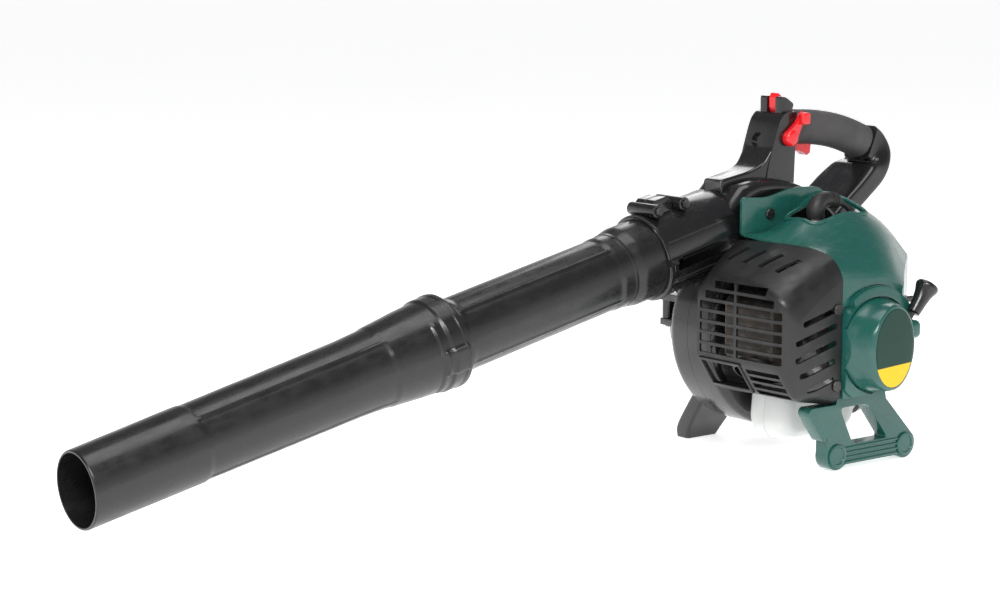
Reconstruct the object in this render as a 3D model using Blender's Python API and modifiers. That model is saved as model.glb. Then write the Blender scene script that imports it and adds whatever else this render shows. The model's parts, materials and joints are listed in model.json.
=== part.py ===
"""Handheld petrol leaf blower and vacuum, modelled as the separate pieces it comes apart into.

Lengths in the code are millimetres and become metres in point(). The blower tube runs towards -X,
the recoil starter is on the -Y side, the air inlet is on the +Y side, and the feet stand on Z = 0.
"""
import math

import bmesh
import bpy
from mathutils import Matrix, Vector

MM = 0.001
GAP = 0.3                 # clearance between neighbouring pieces
WALL = 2.5                # thickness of the moulded shells

# Crankshaft: its axis runs along Y through this point.
CRANK_X = 12.0
CRANK_Z = 119.0

# Blower tube: slopes down towards the nozzle from the centre of the spout's rim.
RIM_X = -143.0
RIM_Z = 197.0
TUBE_PITCH = math.radians(12.85)
SPOUT_RADIUS = 42.0
TUBE_RADIUS = 36.0
TUBE_WALL = 2.4
COLLAR_START = 244.5      # distance along the tube axis from the spout's rim
COLLAR_RADIUS = 44.0
UPPER_TUBE_END = 262.0
NOZZLE_END = 628.5
NOZZLE_RADIUS = 33.8
MOUTH_PITCH = math.radians(5.0)
TUBE_STEPS = 30

# Fan housing (volute)
SCROLL_START = 94.0      # radius of the scroll at its tongue
SCROLL_GROWTH = 58.0      # growth of that radius by the outlet
HOUSING_NEAR = -36.0      # Y of the face towards the engine
HOUSING_FAR = 32.0        # Y of the face towards the inlet
INLET_RADIUS = 56.0

# Engine cover
COVER_SIDE = -160.0       # Y of the flat side around the recoil starter
LABEL_FACE = -188.0
BOSS_RADIUS = 46.0
LABEL_RADIUS = 37.5       # half the label's height
LABEL_HALF_WIDTH = 31.5
LABEL_YAW = 10.0          # degrees by which the label faces the rear

# Handle
POST_HALF_WIDTH = 21.0
GRIP_HALF_WIDTH = 16.5
GRIP_HALF_HEIGHT = 17.5

MATERIALS = {
    "black_plastic": ((0.02, 0.02, 0.021), 0.35, 0.0),
    "guard_plastic": ((0.028, 0.028, 0.029), 0.6, 0.0),
    "green_plastic": ((0.012, 0.092, 0.072), 0.3, 0.0),
    "grip_rubber": ((0.065, 0.063, 0.064), 0.85, 0.0),
    "red_plastic": ((0.8, 0.015, 0.02), 0.3, 0.0),
    "tank_plastic": ((0.8, 0.8, 0.79), 0.4, 0.0),
    "cast_alloy": ((0.55, 0.55, 0.56), 0.5, 0.9),
    "steel": ((0.42, 0.42, 0.43), 0.35, 1.0),
    "dark_steel": ((0.1, 0.1, 0.1), 0.5, 0.8),
    "rope": ((0.05, 0.05, 0.05), 0.9, 0.0),
    "lead_rubber": ((0.015, 0.015, 0.015), 0.55, 0.0),
    "label_film": ((0.0, 0.05, 0.03), 0.25, 0.0),
    "filter_foam": ((0.05, 0.05, 0.06), 0.95, 0.0),
    "ceramic": ((0.85, 0.84, 0.8), 0.2, 0.0),
}

FORWARD = Vector((-math.cos(TUBE_PITCH), 0.0, -math.sin(TUBE_PITCH)))
UPWARD = Vector((-math.sin(TUBE_PITCH), 0.0, math.cos(TUBE_PITCH)))


# ---------------------------------------------------------------- scene and materials

def clear_scene():
    for item in list(bpy.data.objects):
        bpy.data.objects.remove(item, do_unlink=True)


def make_collection(name):
    collection = bpy.data.collections.new(name)
    bpy.context.scene.collection.children.link(collection)
    return collection


def material(name):
    if name in bpy.data.materials:
        return bpy.data.materials[name]
    colour, roughness, metallic = MATERIALS[name]
    made = bpy.data.materials.new(name)
    made.use_nodes = True
    shader = made.node_tree.nodes["Principled BSDF"]
    shader.inputs["Base Color"].default_value = (*colour, 1.0)
    shader.inputs["Roughness"].default_value = roughness
    shader.inputs["Metallic"].default_value = metallic
    return made


def place(name, data, finish):
    """Put data in the scene: with a finish it is a piece, without one it is a cutter."""
    made = bpy.data.objects.new(name, data)
    if finish:
        PARTS.objects.link(made)
        data.materials.append(material(finish))
    else:
        CUTTERS.objects.link(made)
        made.hide_render = True
        made.display_type = "WIRE"
    return made


# ---------------------------------------------------------------- shapes

def point(x, y, z):
    return Vector((x, y, z)) * MM


def along_tube(distance, up=0.0, side=0.0):
    """A point placed by its distance from the spout's rim, its height and its side offset."""
    return Vector((RIM_X, side, RIM_Z)) + FORWARD * distance + UPWARD * up


def bevel(made, width, segments=2, angle=40.0):
    modifier = made.modifiers.new("Bevel", "BEVEL")
    modifier.width = width * MM
    modifier.segments = segments
    modifier.limit_method = "ANGLE"
    modifier.angle_limit = math.radians(angle)
    made.modifiers.new("Facets", "TRIANGULATE")
    return made


def boolean(made, other, operation):
    modifier = made.modifiers.new(operation.title(), "BOOLEAN")
    modifier.object = other
    modifier.operation = operation
    modifier.solver = "EXACT"
    return made


def cut(made, *cutters):
    for cutter in cutters:
        boolean(made, cutter, "DIFFERENCE")
    return made


def join(made, *others):
    for other in others:
        boolean(made, other, "UNION")
    return made


def mesh_object(name, mesh_data, finish):
    mesh = bpy.data.meshes.new(name)
    mesh_data.to_mesh(mesh)
    mesh_data.free()
    return place(name, mesh, finish)


def smooth(made, angle=35.0):
    made.data.shade_smooth()
    made.data.set_sharp_from_angle(angle=math.radians(angle))
    return made


def box(name, low, high, finish=None, round_edges=0.0):
    low = Vector(low) * MM
    high = Vector(high) * MM
    mesh_data = bmesh.new()
    size = Matrix.Diagonal((*(high - low), 1.0))
    bmesh.ops.create_cube(mesh_data, size=1.0, matrix=Matrix.Translation((low + high) / 2) @ size)
    made = mesh_object(name, mesh_data, finish)
    if round_edges:
        bevel(made, round_edges)
    return made


def cylinder(name, start, end, radius, finish=None, segments=24, end_radius=None):
    start = Vector(start) * MM
    end = Vector(end) * MM
    axis = end - start
    turn = Vector((0, 0, 1)).rotation_difference(axis).to_matrix().to_4x4()
    mesh_data = bmesh.new()
    bmesh.ops.create_cone(
        mesh_data,
        cap_ends=True,
        segments=segments,
        radius1=radius * MM,
        radius2=(radius if end_radius is None else end_radius) * MM,
        depth=axis.length,
        matrix=Matrix.Translation((start + end) / 2) @ turn,
    )
    return smooth(mesh_object(name, mesh_data, finish))


def turned(name, profile, base, axis, finish=None, steps=32, closed=False):
    """Turn (radius, height) points, listed down the outer side, about axis through base."""
    mesh = bpy.data.meshes.new(name)
    corners = [point(radius, 0.0, height) for radius, height in profile]
    edges = [(i, i + 1) for i in range(len(corners) - 1)]
    if closed:
        edges.append((len(corners) - 1, 0))
    mesh.from_pydata(corners, edges, [])
    made = place(name, mesh, finish)
    made.location = Vector(base) * MM
    made.rotation_mode = "QUATERNION"
    made.rotation_quaternion = Vector((0, 0, 1)).rotation_difference(Vector(axis))
    screw = made.modifiers.new("Screw", "SCREW")
    screw.steps = steps
    screw.render_steps = steps
    screw.use_merge_vertices = True
    screw.merge_threshold = 0.00001
    return made


def curve_mesh(name, curve, matrix, finish):
    """Turn a curve into a mesh with welded caps."""
    made = bpy.data.objects.new(name + "_curve", curve)
    CUTTERS.objects.link(made)
    made.matrix_world = matrix
    bpy.context.view_layer.update()
    evaluated = made.evaluated_get(bpy.context.evaluated_depsgraph_get())
    mesh = bpy.data.meshes.new_from_object(evaluated)
    mesh.name = name
    mesh_data = bmesh.new()
    mesh_data.from_mesh(mesh)
    bmesh.ops.remove_doubles(mesh_data, verts=mesh_data.verts, dist=0.000001)
    bmesh.ops.recalc_face_normals(mesh_data, faces=mesh_data.faces)
    mesh_data.to_mesh(mesh)
    mesh_data.free()
    mesh.materials.clear()
    result = place(name, mesh, finish)
    result.matrix_world = matrix
    bpy.data.objects.remove(made, do_unlink=True)
    return result


def plate(name, outlines, y_low, y_high, finish=None, round_edges=0.0):
    """A flat piece between two Y planes; outlines are (x, z) loops, the first one the outside."""
    curve = bpy.data.curves.new(name, "CURVE")
    curve.dimensions = "2D"
    curve.fill_mode = "BOTH"
    curve.extrude = (y_high - y_low) / 2 * MM
    for outline in outlines:
        spline = curve.splines.new("POLY")
        spline.points.add(len(outline) - 1)
        for corner, (x, z) in zip(spline.points, outline):
            corner.co = (x * MM, z * MM, 0.0, 1.0)
        spline.use_cyclic_u = True
    middle = Matrix.Translation(point(0.0, (y_low + y_high) / 2, 0.0))
    made = curve_mesh(name, curve, middle @ Matrix.Rotation(math.pi / 2, 4, "X"), finish)
    if round_edges:
        bevel(made, round_edges)
    return made


def wire(name, points, radius, finish, smooth_steps=4, sides=2):
    """A round wire whose route runs smoothly through the given points."""
    route = smooth_route([Vector(p) for p in points], smooth_steps)
    curve = bpy.data.curves.new(name, "CURVE")
    curve.dimensions = "3D"
    curve.bevel_depth = radius * MM
    curve.bevel_resolution = sides
    curve.use_fill_caps = True
    spline = curve.splines.new("POLY")
    spline.points.add(len(route) - 1)
    for corner, place_mm in zip(spline.points, route):
        corner.co = (*(place_mm * MM), 1.0)
    return place(name, curve, finish)


def smooth_route(corners, steps):
    """Catmull-Rom points through the corners."""
    padded = [2 * corners[0] - corners[1], *corners, 2 * corners[-1] - corners[-2]]
    route = []
    for before, start, end, after in zip(padded, padded[1:], padded[2:], padded[3:]):
        for step in range(steps):
            t = step / steps
            route.append(0.5 * (2 * start + (end - before) * t
                                + (2 * before - 5 * start + 4 * end - after) * t ** 2
                                + (3 * start - before - 3 * end + after) * t ** 3))
    route.append(corners[-1])
    return route


def loft(name, rings, finish=None):
    """A closed skin over rings of equal point counts, with flat ends."""
    mesh_data = bmesh.new()
    loops = [[mesh_data.verts.new(Vector(p) * MM) for p in ring] for ring in rings]
    count = len(loops[0])
    for loop, after in zip(loops, loops[1:]):
        for i in range(count):
            j = (i + 1) % count
            mesh_data.faces.new((loop[i], loop[j], after[j], after[i]))
    bmesh.ops.triangulate(mesh_data, faces=mesh_data.faces)
    mesh_data.faces.new(loops[0])
    mesh_data.faces.new(loops[-1])
    bmesh.ops.recalc_face_normals(mesh_data, faces=mesh_data.faces)
    return smooth(mesh_object(name, mesh_data, finish))


def hollow_loft(name, outer, inner, finish):
    """A tube between outer and inner rings, closed by an annulus at each end."""
    mesh_data = bmesh.new()
    loops = [[mesh_data.verts.new(Vector(p) * MM) for p in ring] for ring in outer + inner[::-1]]
    count = len(loops[0])
    for loop, after in zip(loops, loops[1:] + loops[:1]):
        for i in range(count):
            j = (i + 1) % count
            mesh_data.faces.new((loop[i], loop[j], after[j], after[i]))
    bmesh.ops.triangulate(mesh_data, faces=mesh_data.faces)
    bmesh.ops.recalc_face_normals(mesh_data, faces=mesh_data.faces)
    return smooth(mesh_object(name, mesh_data, finish))


def arc(centre_x, centre_z, radius, start, end, steps):
    """Points (x, z) on an arc, angles in degrees from +X towards +Z."""
    return [
        (centre_x + radius * math.cos(math.radians(start + (end - start) * i / steps)),
         centre_z + radius * math.sin(math.radians(start + (end - start) * i / steps)))
        for i in range(steps + 1)
    ]


def section(centre, direction, half_height, half_width, count=16, power=2.6):
    """A rounded section across direction (an XZ angle in degrees), centred in the Y = 0 plane."""
    angle = math.radians(direction)
    across = Vector((-math.sin(angle), 0.0, math.cos(angle)))
    ring = []
    for i in range(count):
        turn = 2 * math.pi * i / count
        rise = math.copysign(abs(math.sin(turn)) ** (2 / power), math.sin(turn))
        side = math.copysign(abs(math.cos(turn)) ** (2 / power), math.cos(turn))
        middle = Vector((centre[0], 0.0, centre[1]))
        ring.append(middle + across * half_height * rise + Vector((0, half_width * side, 0)))
    return ring


# ---------------------------------------------------------------- blower tubes

def make_nozzle_tube():
    taper = (NOZZLE_RADIUS - 36.4) / (NOZZLE_END - 350.0)
    past_end = NOZZLE_END + 12.0
    end_radius = 36.4 + taper * (past_end - 350.0)
    bore = COLLAR_RADIUS - 5.0
    profile = [
        (end_radius, past_end),
        (36.4, 350.0),
        (38.2, 316.0),
        (41.0, 284.0),
        (41.8, 266.0),
        (COLLAR_RADIUS, 263.0),
        (COLLAR_RADIUS, COLLAR_START),
        (bore, COLLAR_START),
        (bore, 264.0),
        (35.6, 284.0),
        (33.8, 350.0),
        (end_radius - TUBE_WALL, past_end),
    ]
    tube = turned("nozzle_tube", profile, along_tube(0.0), FORWARD, "black_plastic", TUBE_STEPS, True)
    for turn in (100.0, -80.0):
        join(tube, collar_lug(turn))
    mouth = box("mouth_cutter", (0, -60, -60), (60, 60, 60))
    mouth.location = along_tube(NOZZLE_END) * MM
    mouth.rotation_euler = (0.0, math.pi - MOUTH_PITCH, 0.0)
    return cut(tube, mouth)


def collar_lug(turn):
    """A raised rib around part of the collar, turn degrees about the tube axis from its top."""
    lug = box("collar_lug", (COLLAR_RADIUS - 3.0, -11.0, 0.0), (COLLAR_RADIUS + 3.0, 11.0, 26.0))
    bevel(lug, 2.0, 1)
    frame = Matrix.Translation(along_tube(COLLAR_START + 2.0) * MM) @ tube_turn(turn)
    lug.matrix_world = frame
    return lug


def tube_turn(turn):
    """Rotation whose Z runs along the tube and whose X is turn degrees from the tube's top."""
    side = FORWARD.cross(UPWARD)
    frame = Matrix((UPWARD, side, FORWARD)).transposed().to_4x4()
    return frame @ Matrix.Rotation(math.radians(turn), 4, "Z")


def make_upper_tube():
    band = SPOUT_RADIUS - WALL - GAP - 0.2
    profile = [
        (TUBE_RADIUS, UPPER_TUBE_END),
        (TUBE_RADIUS, 40.0),
        (band, 24.0),
        (band, -24.0),
        (band - TUBE_WALL, -24.0),
        (band - TUBE_WALL, 22.0),
        (TUBE_RADIUS - TUBE_WALL, 38.0),
        (TUBE_RADIUS - TUBE_WALL, UPPER_TUBE_END),
    ]
    return turned("upper_tube", profile, along_tube(0.0), FORWARD, "black_plastic", TUBE_STEPS, True)


# ---------------------------------------------------------------- fan housing

def scroll_point(degrees, offset):
    """A point on the scroll; its radius grows with the square of the angle past the tongue."""
    last = 450.0 + math.degrees(TUBE_PITCH)
    grown = max(0.0, (degrees - 180.0) / (last - 180.0))
    radius = SCROLL_START + SCROLL_GROWTH * grown ** 2 + offset
    turn = math.radians(degrees)
    return (CRANK_X + radius * math.cos(turn), CRANK_Z + radius * math.sin(turn))


def scroll_outline(offset, steps=24):
    """The volute's outline in XZ, grown by offset on every side."""
    first = 160.0
    last = 450.0 + math.degrees(TUBE_PITCH)
    outline = [scroll_point(first + (last - first) * i / steps, offset) for i in range(steps + 1)]
    for distance, up in ((-112.0, SPOUT_RADIUS - 1.0 + offset), (-86.0, 22.0), (-80.0, 5.0 - SPOUT_RADIUS)):
        corner = along_tube(distance + offset, up)
        outline.append((corner.x, corner.z))
    return outline


def scroll_solid(name, offset):
    """The volute's body with its long edges rounded over."""
    rings = []
    for y, inset in (
        (HOUSING_NEAR - offset, 10.0),
        (HOUSING_NEAR + 3.0 - offset, 3.0),
        (HOUSING_NEAR + 10.0, 0.0),
        (HOUSING_FAR - 16.0, 0.0),
        (HOUSING_FAR - 5.0 + offset, 5.0),
        (HOUSING_FAR + offset, 15.0),
    ):
        rings.append([(x, y, z) for x, z in scroll_outline(offset - inset)])
    return loft(name, rings)


def spout_solid(name, offset, start=0.0):
    """The round spout, narrowing where it runs into the volute."""
    profile = [
        (0.0, start),
        (SPOUT_RADIUS + offset, start),
        (SPOUT_RADIUS + offset, -92.0),
        (SPOUT_RADIUS - 12.0 + offset, -122.0),
        (0.0, -122.0),
    ]
    return turned(name, profile, along_tube(0.0), FORWARD, None, TUBE_STEPS)


def housing_envelope(tag):
    """The fan housing's outer shape with clearance, for pieces that are fitted onto it."""
    return scroll_solid("housing_fit_" + tag, GAP), spout_solid("spout_fit_" + tag, GAP, GAP)


def clamp_block(y_low, y_high, tag):
    """The block on top of the spout's rim and the two screw bosses through it."""
    low, top = SPOUT_RADIUS - 5.0, SPOUT_RADIUS + 12.0
    outline = [(-14.0, low), (-14.0, top - 3.0), (-18.0, top), (-33.0, top), (-39.0, top - 6.0), (-39.0, low)]
    corners = [along_tube(s, up) for s, up in outline]
    return plate("clamp_block_" + tag, [[(c.x, c.z) for c in corners]], y_low, y_high)


CLAMP_SCREWS = ((-12.0, SPOUT_RADIUS + 4.0), (-46.0, SPOUT_RADIUS + 1.5))


def add_clamp_bosses(half, y_low, y_high, tag):
    for number, (distance, up) in enumerate(CLAMP_SCREWS):
        centre = along_tube(distance, up)
        ends = [(centre.x, y, centre.z) for y in (y_low, y_high)]
        join(half, cylinder(f"clamp_boss_{tag}_{number}", ends[0], ends[1], 6.5, None, 16))


def cut_clamp_holes(half, tag):
    for number, (distance, up) in enumerate(CLAMP_SCREWS):
        centre = along_tube(distance, up)
        start, end = (centre.x, -30.0, centre.z), (centre.x, 13.0, centre.z)
        cut(half, cylinder(f"clamp_hole_{tag}_{number}", start, end, 2.3, None, 12))


def housing_half(name):
    """One half of the volute and spout, before its own details."""
    half = scroll_solid(name + "_body", 0.0)
    half.name = name
    CUTTERS.objects.unlink(half)
    PARTS.objects.link(half)
    half.hide_render = False
    half.display_type = "TEXTURED"
    half.data.materials.append(material("black_plastic"))
    join(half, spout_solid(name + "_spout", 0.0))
    return half


def finish_housing(half, name, y_low, y_high):
    cut(half, scroll_solid(name + "_hollow", -WALL), spout_solid(name + "_bore", -WALL, 1.0))
    cut(half, box(name + "_split", (-250, y_low, -20), (200, y_high, 400)))
    return half


def make_fan_housing_near():
    name = "fan_housing_near"
    half = housing_half(name)
    join(half, clamp_block(-13.0, 0.0, "near"))
    add_clamp_bosses(half, -23.0, 0.0, "near")
    finish_housing(half, name, -GAP / 2, 80.0)
    cut_clamp_holes(half, "near")
    shaft_hole = cylinder("shaft_hole", (CRANK_X, -50, CRANK_Z), (CRANK_X, -20, CRANK_Z), 17.0)
    return cut(half, shaft_hole)


def make_fan_housing_far():
    name = "fan_housing_far"
    half = housing_half(name)
    join(half, clamp_block(0.0, 13.0, "far"))
    add_clamp_bosses(half, 0.0, 16.0, "far")
    join(half, front_foot())
    for z_low, z_high in ((120.0, 127.0), (145.0, 152.0)):
        lug = box(f"hinge_lug_{z_low:.0f}", (HINGE_X - 6, 20, z_low), (HINGE_X + 7, HINGE_Y + 5, z_high))
        join(half, lug)
    join(half, cylinder("latch_seat", (LATCH_X, 20, CRANK_Z), (LATCH_X, 36, CRANK_Z), 9.0))
    finish_housing(half, name, -80.0, GAP / 2)
    cut_clamp_holes(half, "far")
    cut(half, cylinder("inlet_hole", (CRANK_X, 24, CRANK_Z), (CRANK_X, 60, CRANK_Z), INLET_RADIUS, None, 36))
    cut(half, cylinder("pin_hole", (HINGE_X, HINGE_Y, 110), (HINGE_X, HINGE_Y, 160), 2.5 + GAP, None, 12))
    return cut(half, cylinder("latch_hole", (LATCH_X, 26, CRANK_Z), (LATCH_X, 50, CRANK_Z), 3.3, None, 12))


def front_foot():
    """The leg under the volute, splayed towards +Y."""
    top, bottom = 50.0, 0.0
    rings = []
    for z, y_low, y_high, x_low, x_high in (
        (top, 12.0, 31.0, -46.0, 14.0),
        (14.0, 38.0, 58.0, -42.0, 8.0),
        (bottom, 43.0, 61.0, -40.0, 0.0),
    ):
        rings.append([(x_low, y_low, z), (x_high, y_low, z), (x_high, y_high, z), (x_low, y_high, z)])
    return loft("front_foot", rings)


def make_clamp_screws():
    for number, (distance, up) in enumerate(CLAMP_SCREWS):
        centre = along_tube(distance, up)
        profile = [(0.0, 26.5), (3.6, 26.5), (4.2, 25.5), (4.2, 23.0 + GAP), (2.0, 23.0 + GAP),
                   (2.0, -12.0), (0.0, -12.0)]
        name = ("clamp_screw_front", "clamp_screw_rear")[number]
        turned(name, profile, (centre.x, 0.0, centre.z), (0, -1, 0), "steel", 16)


# ---------------------------------------------------------------- inlet door

HINGE_X = -69.0
HINGE_Y = 43.0
LATCH_X = 92.0
DOOR_LOW = HOUSING_FAR + 0.6
DOOR_HIGH = 56.0
DOOR_RADIUS = 70.0


def make_inlet_door():
    profile = [(DOOR_RADIUS - 4, DOOR_HIGH), (DOOR_RADIUS, DOOR_HIGH - 4), (DOOR_RADIUS, DOOR_LOW),
               (INLET_RADIUS, DOOR_LOW), (INLET_RADIUS, DOOR_HIGH)]
    centre = (CRANK_X, 0.0, CRANK_Z)
    door = turned("inlet_door", profile, centre, (0, 1, 0), "black_plastic", 36, True)
    ring = [(30.0, DOOR_HIGH), (30.0, DOOR_HIGH - 5), (26.0, DOOR_HIGH - 5), (26.0, DOOR_HIGH)]
    join(door, turned("door_ring", ring, centre, (0, 1, 0), None, 20, True))
    for number in range(4):
        bar = box(f"door_bar_{number}", (-INLET_RADIUS - 6, DOOR_HIGH - 6, -1.6),
                  (INLET_RADIUS + 6, DOOR_HIGH - 0.7, 1.6))
        bar.location = point(*centre)
        bar.rotation_euler = (0.0, math.radians(45.0 * number + 22.5), 0.0)
        join(door, bar)
    knuckle_z = (127.0 + GAP, 145.0 - GAP)
    arm = box("door_arm", (HINGE_X, HINGE_Y - 3, knuckle_z[0]), (-52, HINGE_Y + 3, knuckle_z[1]))
    knuckle = cylinder("door_knuckle", (HINGE_X, HINGE_Y, knuckle_z[0]), (HINGE_X, HINGE_Y, knuckle_z[1]),
                       5.5, None, 16)
    join(door, arm, knuckle)
    tab = box("door_tab", (80, 36 + GAP, CRANK_Z - 11), (103, 46, CRANK_Z + 11))
    join(door, bevel(tab, 2.0, 1))
    pin_bore = cylinder("door_bore", (HINGE_X, HINGE_Y, 110), (HINGE_X, HINGE_Y, 160), 2.5 + GAP, None, 12)
    latch_bore = cylinder("door_latch_bore", (LATCH_X, 30, CRANK_Z), (LATCH_X, 60, CRANK_Z), 4.3, None, 12)
    return cut(door, pin_bore, latch_bore)


def make_inlet_hinge_pin():
    return cylinder("inlet_hinge_pin", (HINGE_X, HINGE_Y, 118), (HINGE_X, HINGE_Y, 154), 2.5, "steel", 12)


def make_inlet_latch():
    latch = cylinder("inlet_latch", (LATCH_X, 37, CRANK_Z), (LATCH_X, 50, CRANK_Z), 3.0, "black_plastic", 12)
    head = box("latch_head", (LATCH_X - 3.5, 46 + GAP, CRANK_Z - 9), (LATCH_X + 3.5, 56, CRANK_Z + 9))
    return join(latch, bevel(head, 1.5, 1))


# ---------------------------------------------------------------- rotating assembly

def make_impeller():
    profile = [(0.0, 22.0), (14.0, 22.0), (18.0, -22.0), (80.0, -26.0), (80.0, -29.0), (0.0, -29.0)]
    impeller = turned("impeller", profile, (CRANK_X, 0, CRANK_Z), (0, 1, 0), "black_plastic", 32)
    for number in range(8):
        blade = box(f"blade_{number}", (15.0, -28.0, -1.4), (78.0, 16.0, 1.4))
        blade.location = point(CRANK_X, 0, CRANK_Z)
        blade.rotation_euler = (0.0, math.radians(45.0 * number), 0.0)
        join(impeller, blade)
    shaft = cylinder("impeller_bore", (CRANK_X, -60, CRANK_Z), (CRANK_X, 8, CRANK_Z), 6.0 + GAP)
    return cut(impeller, shaft)


def make_crankshaft():
    profile = [(0.0, 141.0), (6.0, 141.0), (6.0, 96.0), (23.0, 96.0), (23.0, 88.0), (7.0, 88.0),
               (7.0, 80.0), (23.0, 80.0), (23.0, 72.0), (6.0, 72.0), (6.0, -7.0), (0.0, -7.0)]
    return turned("crankshaft", profile, (CRANK_X, 0, CRANK_Z), (0, -1, 0), "steel", 24)


def make_flywheel():
    profile = [(15.0, 137.0), (15.0, 130.0), (44.0, 127.0), (46.0, 116.0), (6.0 + GAP, 116.0),
               (6.0 + GAP, 137.0)]
    flywheel = turned("flywheel", profile, (CRANK_X, 0, CRANK_Z), (0, -1, 0), "cast_alloy", 32, True)
    for number in range(10):
        fin = box(f"flywheel_fin_{number}", (20.0, -136.0, -1.2), (43.0, -120.0, 1.2))
        fin.location = point(CRANK_X, 0, CRANK_Z)
        fin.rotation_euler = (0.0, math.radians(36.0 * number), 0.0)
        join(flywheel, fin)
    return flywheel


# ---------------------------------------------------------------- engine

def make_crankcase():
    crankcase = cylinder("crankcase", (CRANK_X, -38, CRANK_Z), (CRANK_X, -106, CRANK_Z), 36.0,
                         "cast_alloy", 32)
    join(crankcase, box("case_top", (CRANK_X - 27, -104, CRANK_Z), (CRANK_X + 27, -64, CRANK_Z + 41)))
    join(crankcase, cylinder("case_nose", (CRANK_X, -60, CRANK_Z), (CRANK_X, -32, CRANK_Z), 16.5))
    chamber = cylinder("crank_chamber", (CRANK_X, -70, CRANK_Z), (CRANK_X, -98, CRANK_Z), 26.0)
    bore = cylinder("shaft_bore", (CRANK_X, 0, CRANK_Z), (CRANK_X, -130, CRANK_Z), 6.0 + GAP)
    barrel = cylinder("barrel_opening", (CRANK_X, -84, CRANK_Z), (CRANK_X, -84, CRANK_Z + 50), 17.4)
    return cut(crankcase, chamber, bore, barrel)


CYLINDER_Y = -80.0
CYLINDER_HEIGHT = 59.0
CYLINDER_BASE = CRANK_Z + 41 + GAP


def make_cylinder():
    top = CYLINDER_HEIGHT
    profile = [(0.0, top), (20.0, top), (28.0, top - 4.0)]
    height = top - 6.0
    for _ in range(4):
        profile += [(28.0, height), (22.0, height), (22.0, height - 6.0), (28.0, height - 6.0)]
        height -= 10.0
    profile += [(28.0, height), (22.0, height), (22.0, 5.0), (27.0, 5.0), (27.0, 0.0), (0.0, 0.0)]
    barrel = turned("cylinder", profile, (CRANK_X, CYLINDER_Y, CYLINDER_BASE), (0, 0, 1), "cast_alloy", 18)
    bore = cylinder("cylinder_bore", (CRANK_X, CYLINDER_Y, CYLINDER_BASE - 9),
                    (CRANK_X, CYLINDER_Y, CYLINDER_BASE + top - 6), 17.4)
    plug_hole = cylinder("plug_hole", (CRANK_X, CYLINDER_Y, CYLINDER_BASE + top - 16),
                         (CRANK_X, CYLINDER_Y, CYLINDER_BASE + top + 9), 5.3, None, 12)
    return cut(barrel, bore, plug_hole)


def make_piston():
    base = CYLINDER_BASE + 8
    piston = cylinder("piston", (CRANK_X, CYLINDER_Y, base), (CRANK_X, CYLINDER_Y, base + 22), 17.0,
                      "cast_alloy", 24)
    return cut(piston, cylinder("piston_hollow", (CRANK_X, CYLINDER_Y, base - 5),
                                (CRANK_X, CYLINDER_Y, base + 17), 13.0))


def make_spark_plug():
    top = CYLINDER_BASE + CYLINDER_HEIGHT
    profile = [(0.0, 26.0), (4.0, 26.0), (4.5, 12.0), (8.5, 9.0), (8.5, GAP), (5.0, GAP), (5.0, -12.0),
               (0.0, -12.0)]
    return turned("spark_plug", profile, (CRANK_X, CYLINDER_Y, top), (0, 0, 1), "ceramic", 16)


def make_spark_plug_boot():
    """An elbow cap pushed over the plug, turned towards the rear."""
    top = CYLINDER_BASE + CYLINDER_HEIGHT + 13.0
    corners = [(CRANK_X, top), (CRANK_X, top + 9), (CRANK_X + 5, top + 16), (CRANK_X + 15, top + 17),
               (CRANK_X + 30, top + 14)]
    directions = (90.0, 84.0, 40.0, 0.0, -12.0)
    radii = (8.5, 9.0, 8.5, 7.5, 6.0)
    rings = [section(c, d, r, r, 14, 2.0) for c, d, r in zip(corners, directions, radii)]
    rings = [[p + Vector((0, CYLINDER_Y, 0)) for p in ring] for ring in rings]
    boot = loft("spark_plug_boot", rings, "lead_rubber")
    return cut(boot, cylinder("boot_socket", (CRANK_X, CYLINDER_Y, top - 5),
                              (CRANK_X, CYLINDER_Y, top + 13 + GAP), 4.9, None, 12))


LEAD_ROUTE = (
    (42.6, CYLINDER_Y, 245.3),
    (51.0, -81.0, 242.0),
    (58.0, -84.0, 233.0),
    (60.0, -90.0, 222.0),
    (62.0, -100.0, 205.0),
    (62.0, -108.0, 180.0),
    (66.0, -112.0, 150.0),
)


def make_ignition_lead():
    return wire("ignition_lead", LEAD_ROUTE, 2.6, "lead_rubber")


def make_ignition_coil():
    coil = box("ignition_coil", (58.6, -120.0, 122.0), (76.0, -106.0, 149.6), "dark_steel", 2.0)
    return coil


def make_muffler():
    outline = [(-88, 108), (-88, 158), (-82, 165), (-58, 168), (-46, 160), (-46, 108), (-56, 98),
               (-80, 98)]
    muffler = plate("muffler", [outline], -126.0, -58.0, "dark_steel")
    bevel(muffler, 4.0, 2)
    neck = cylinder("muffler_neck", (-48, CYLINDER_Y, 152), (-22, CYLINDER_Y, 152), 11.0)
    join(muffler, neck)
    outlet = cylinder("muffler_outlet", (-70, -80, 104), (-86, -80, 92), 9.0, None, 16)
    join(muffler, outlet)
    return cut(muffler, cylinder("outlet_bore", (-66, -80, 107), (-94, -80, 86), 6.5, None, 16))


def make_intake():
    intake = box("intake_insulator", (40.6, -98, 150), (54, -62, 186), "lead_rubber", 2.0)
    return cut(intake, cylinder("intake_bore", (30, CYLINDER_Y, 168), (70, CYLINDER_Y, 168), 7.0))


def make_carburettor():
    carburettor = box("carburettor", (54 + GAP, -96, 148), (88, -64, 188), "cast_alloy")
    bowl = cylinder("carburettor_bowl", (71, CYLINDER_Y, 136), (71, CYLINDER_Y, 152), 13.0)
    join(carburettor, bowl)
    seat = cylinder("primer_seat", (71, CYLINDER_Y, 130), (71, CYLINDER_Y, 139.8), 10.2)
    return cut(carburettor, seat, cylinder("throttle_bore", (40, CYLINDER_Y, 168), (100, CYLINDER_Y, 168), 7.0))


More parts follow.
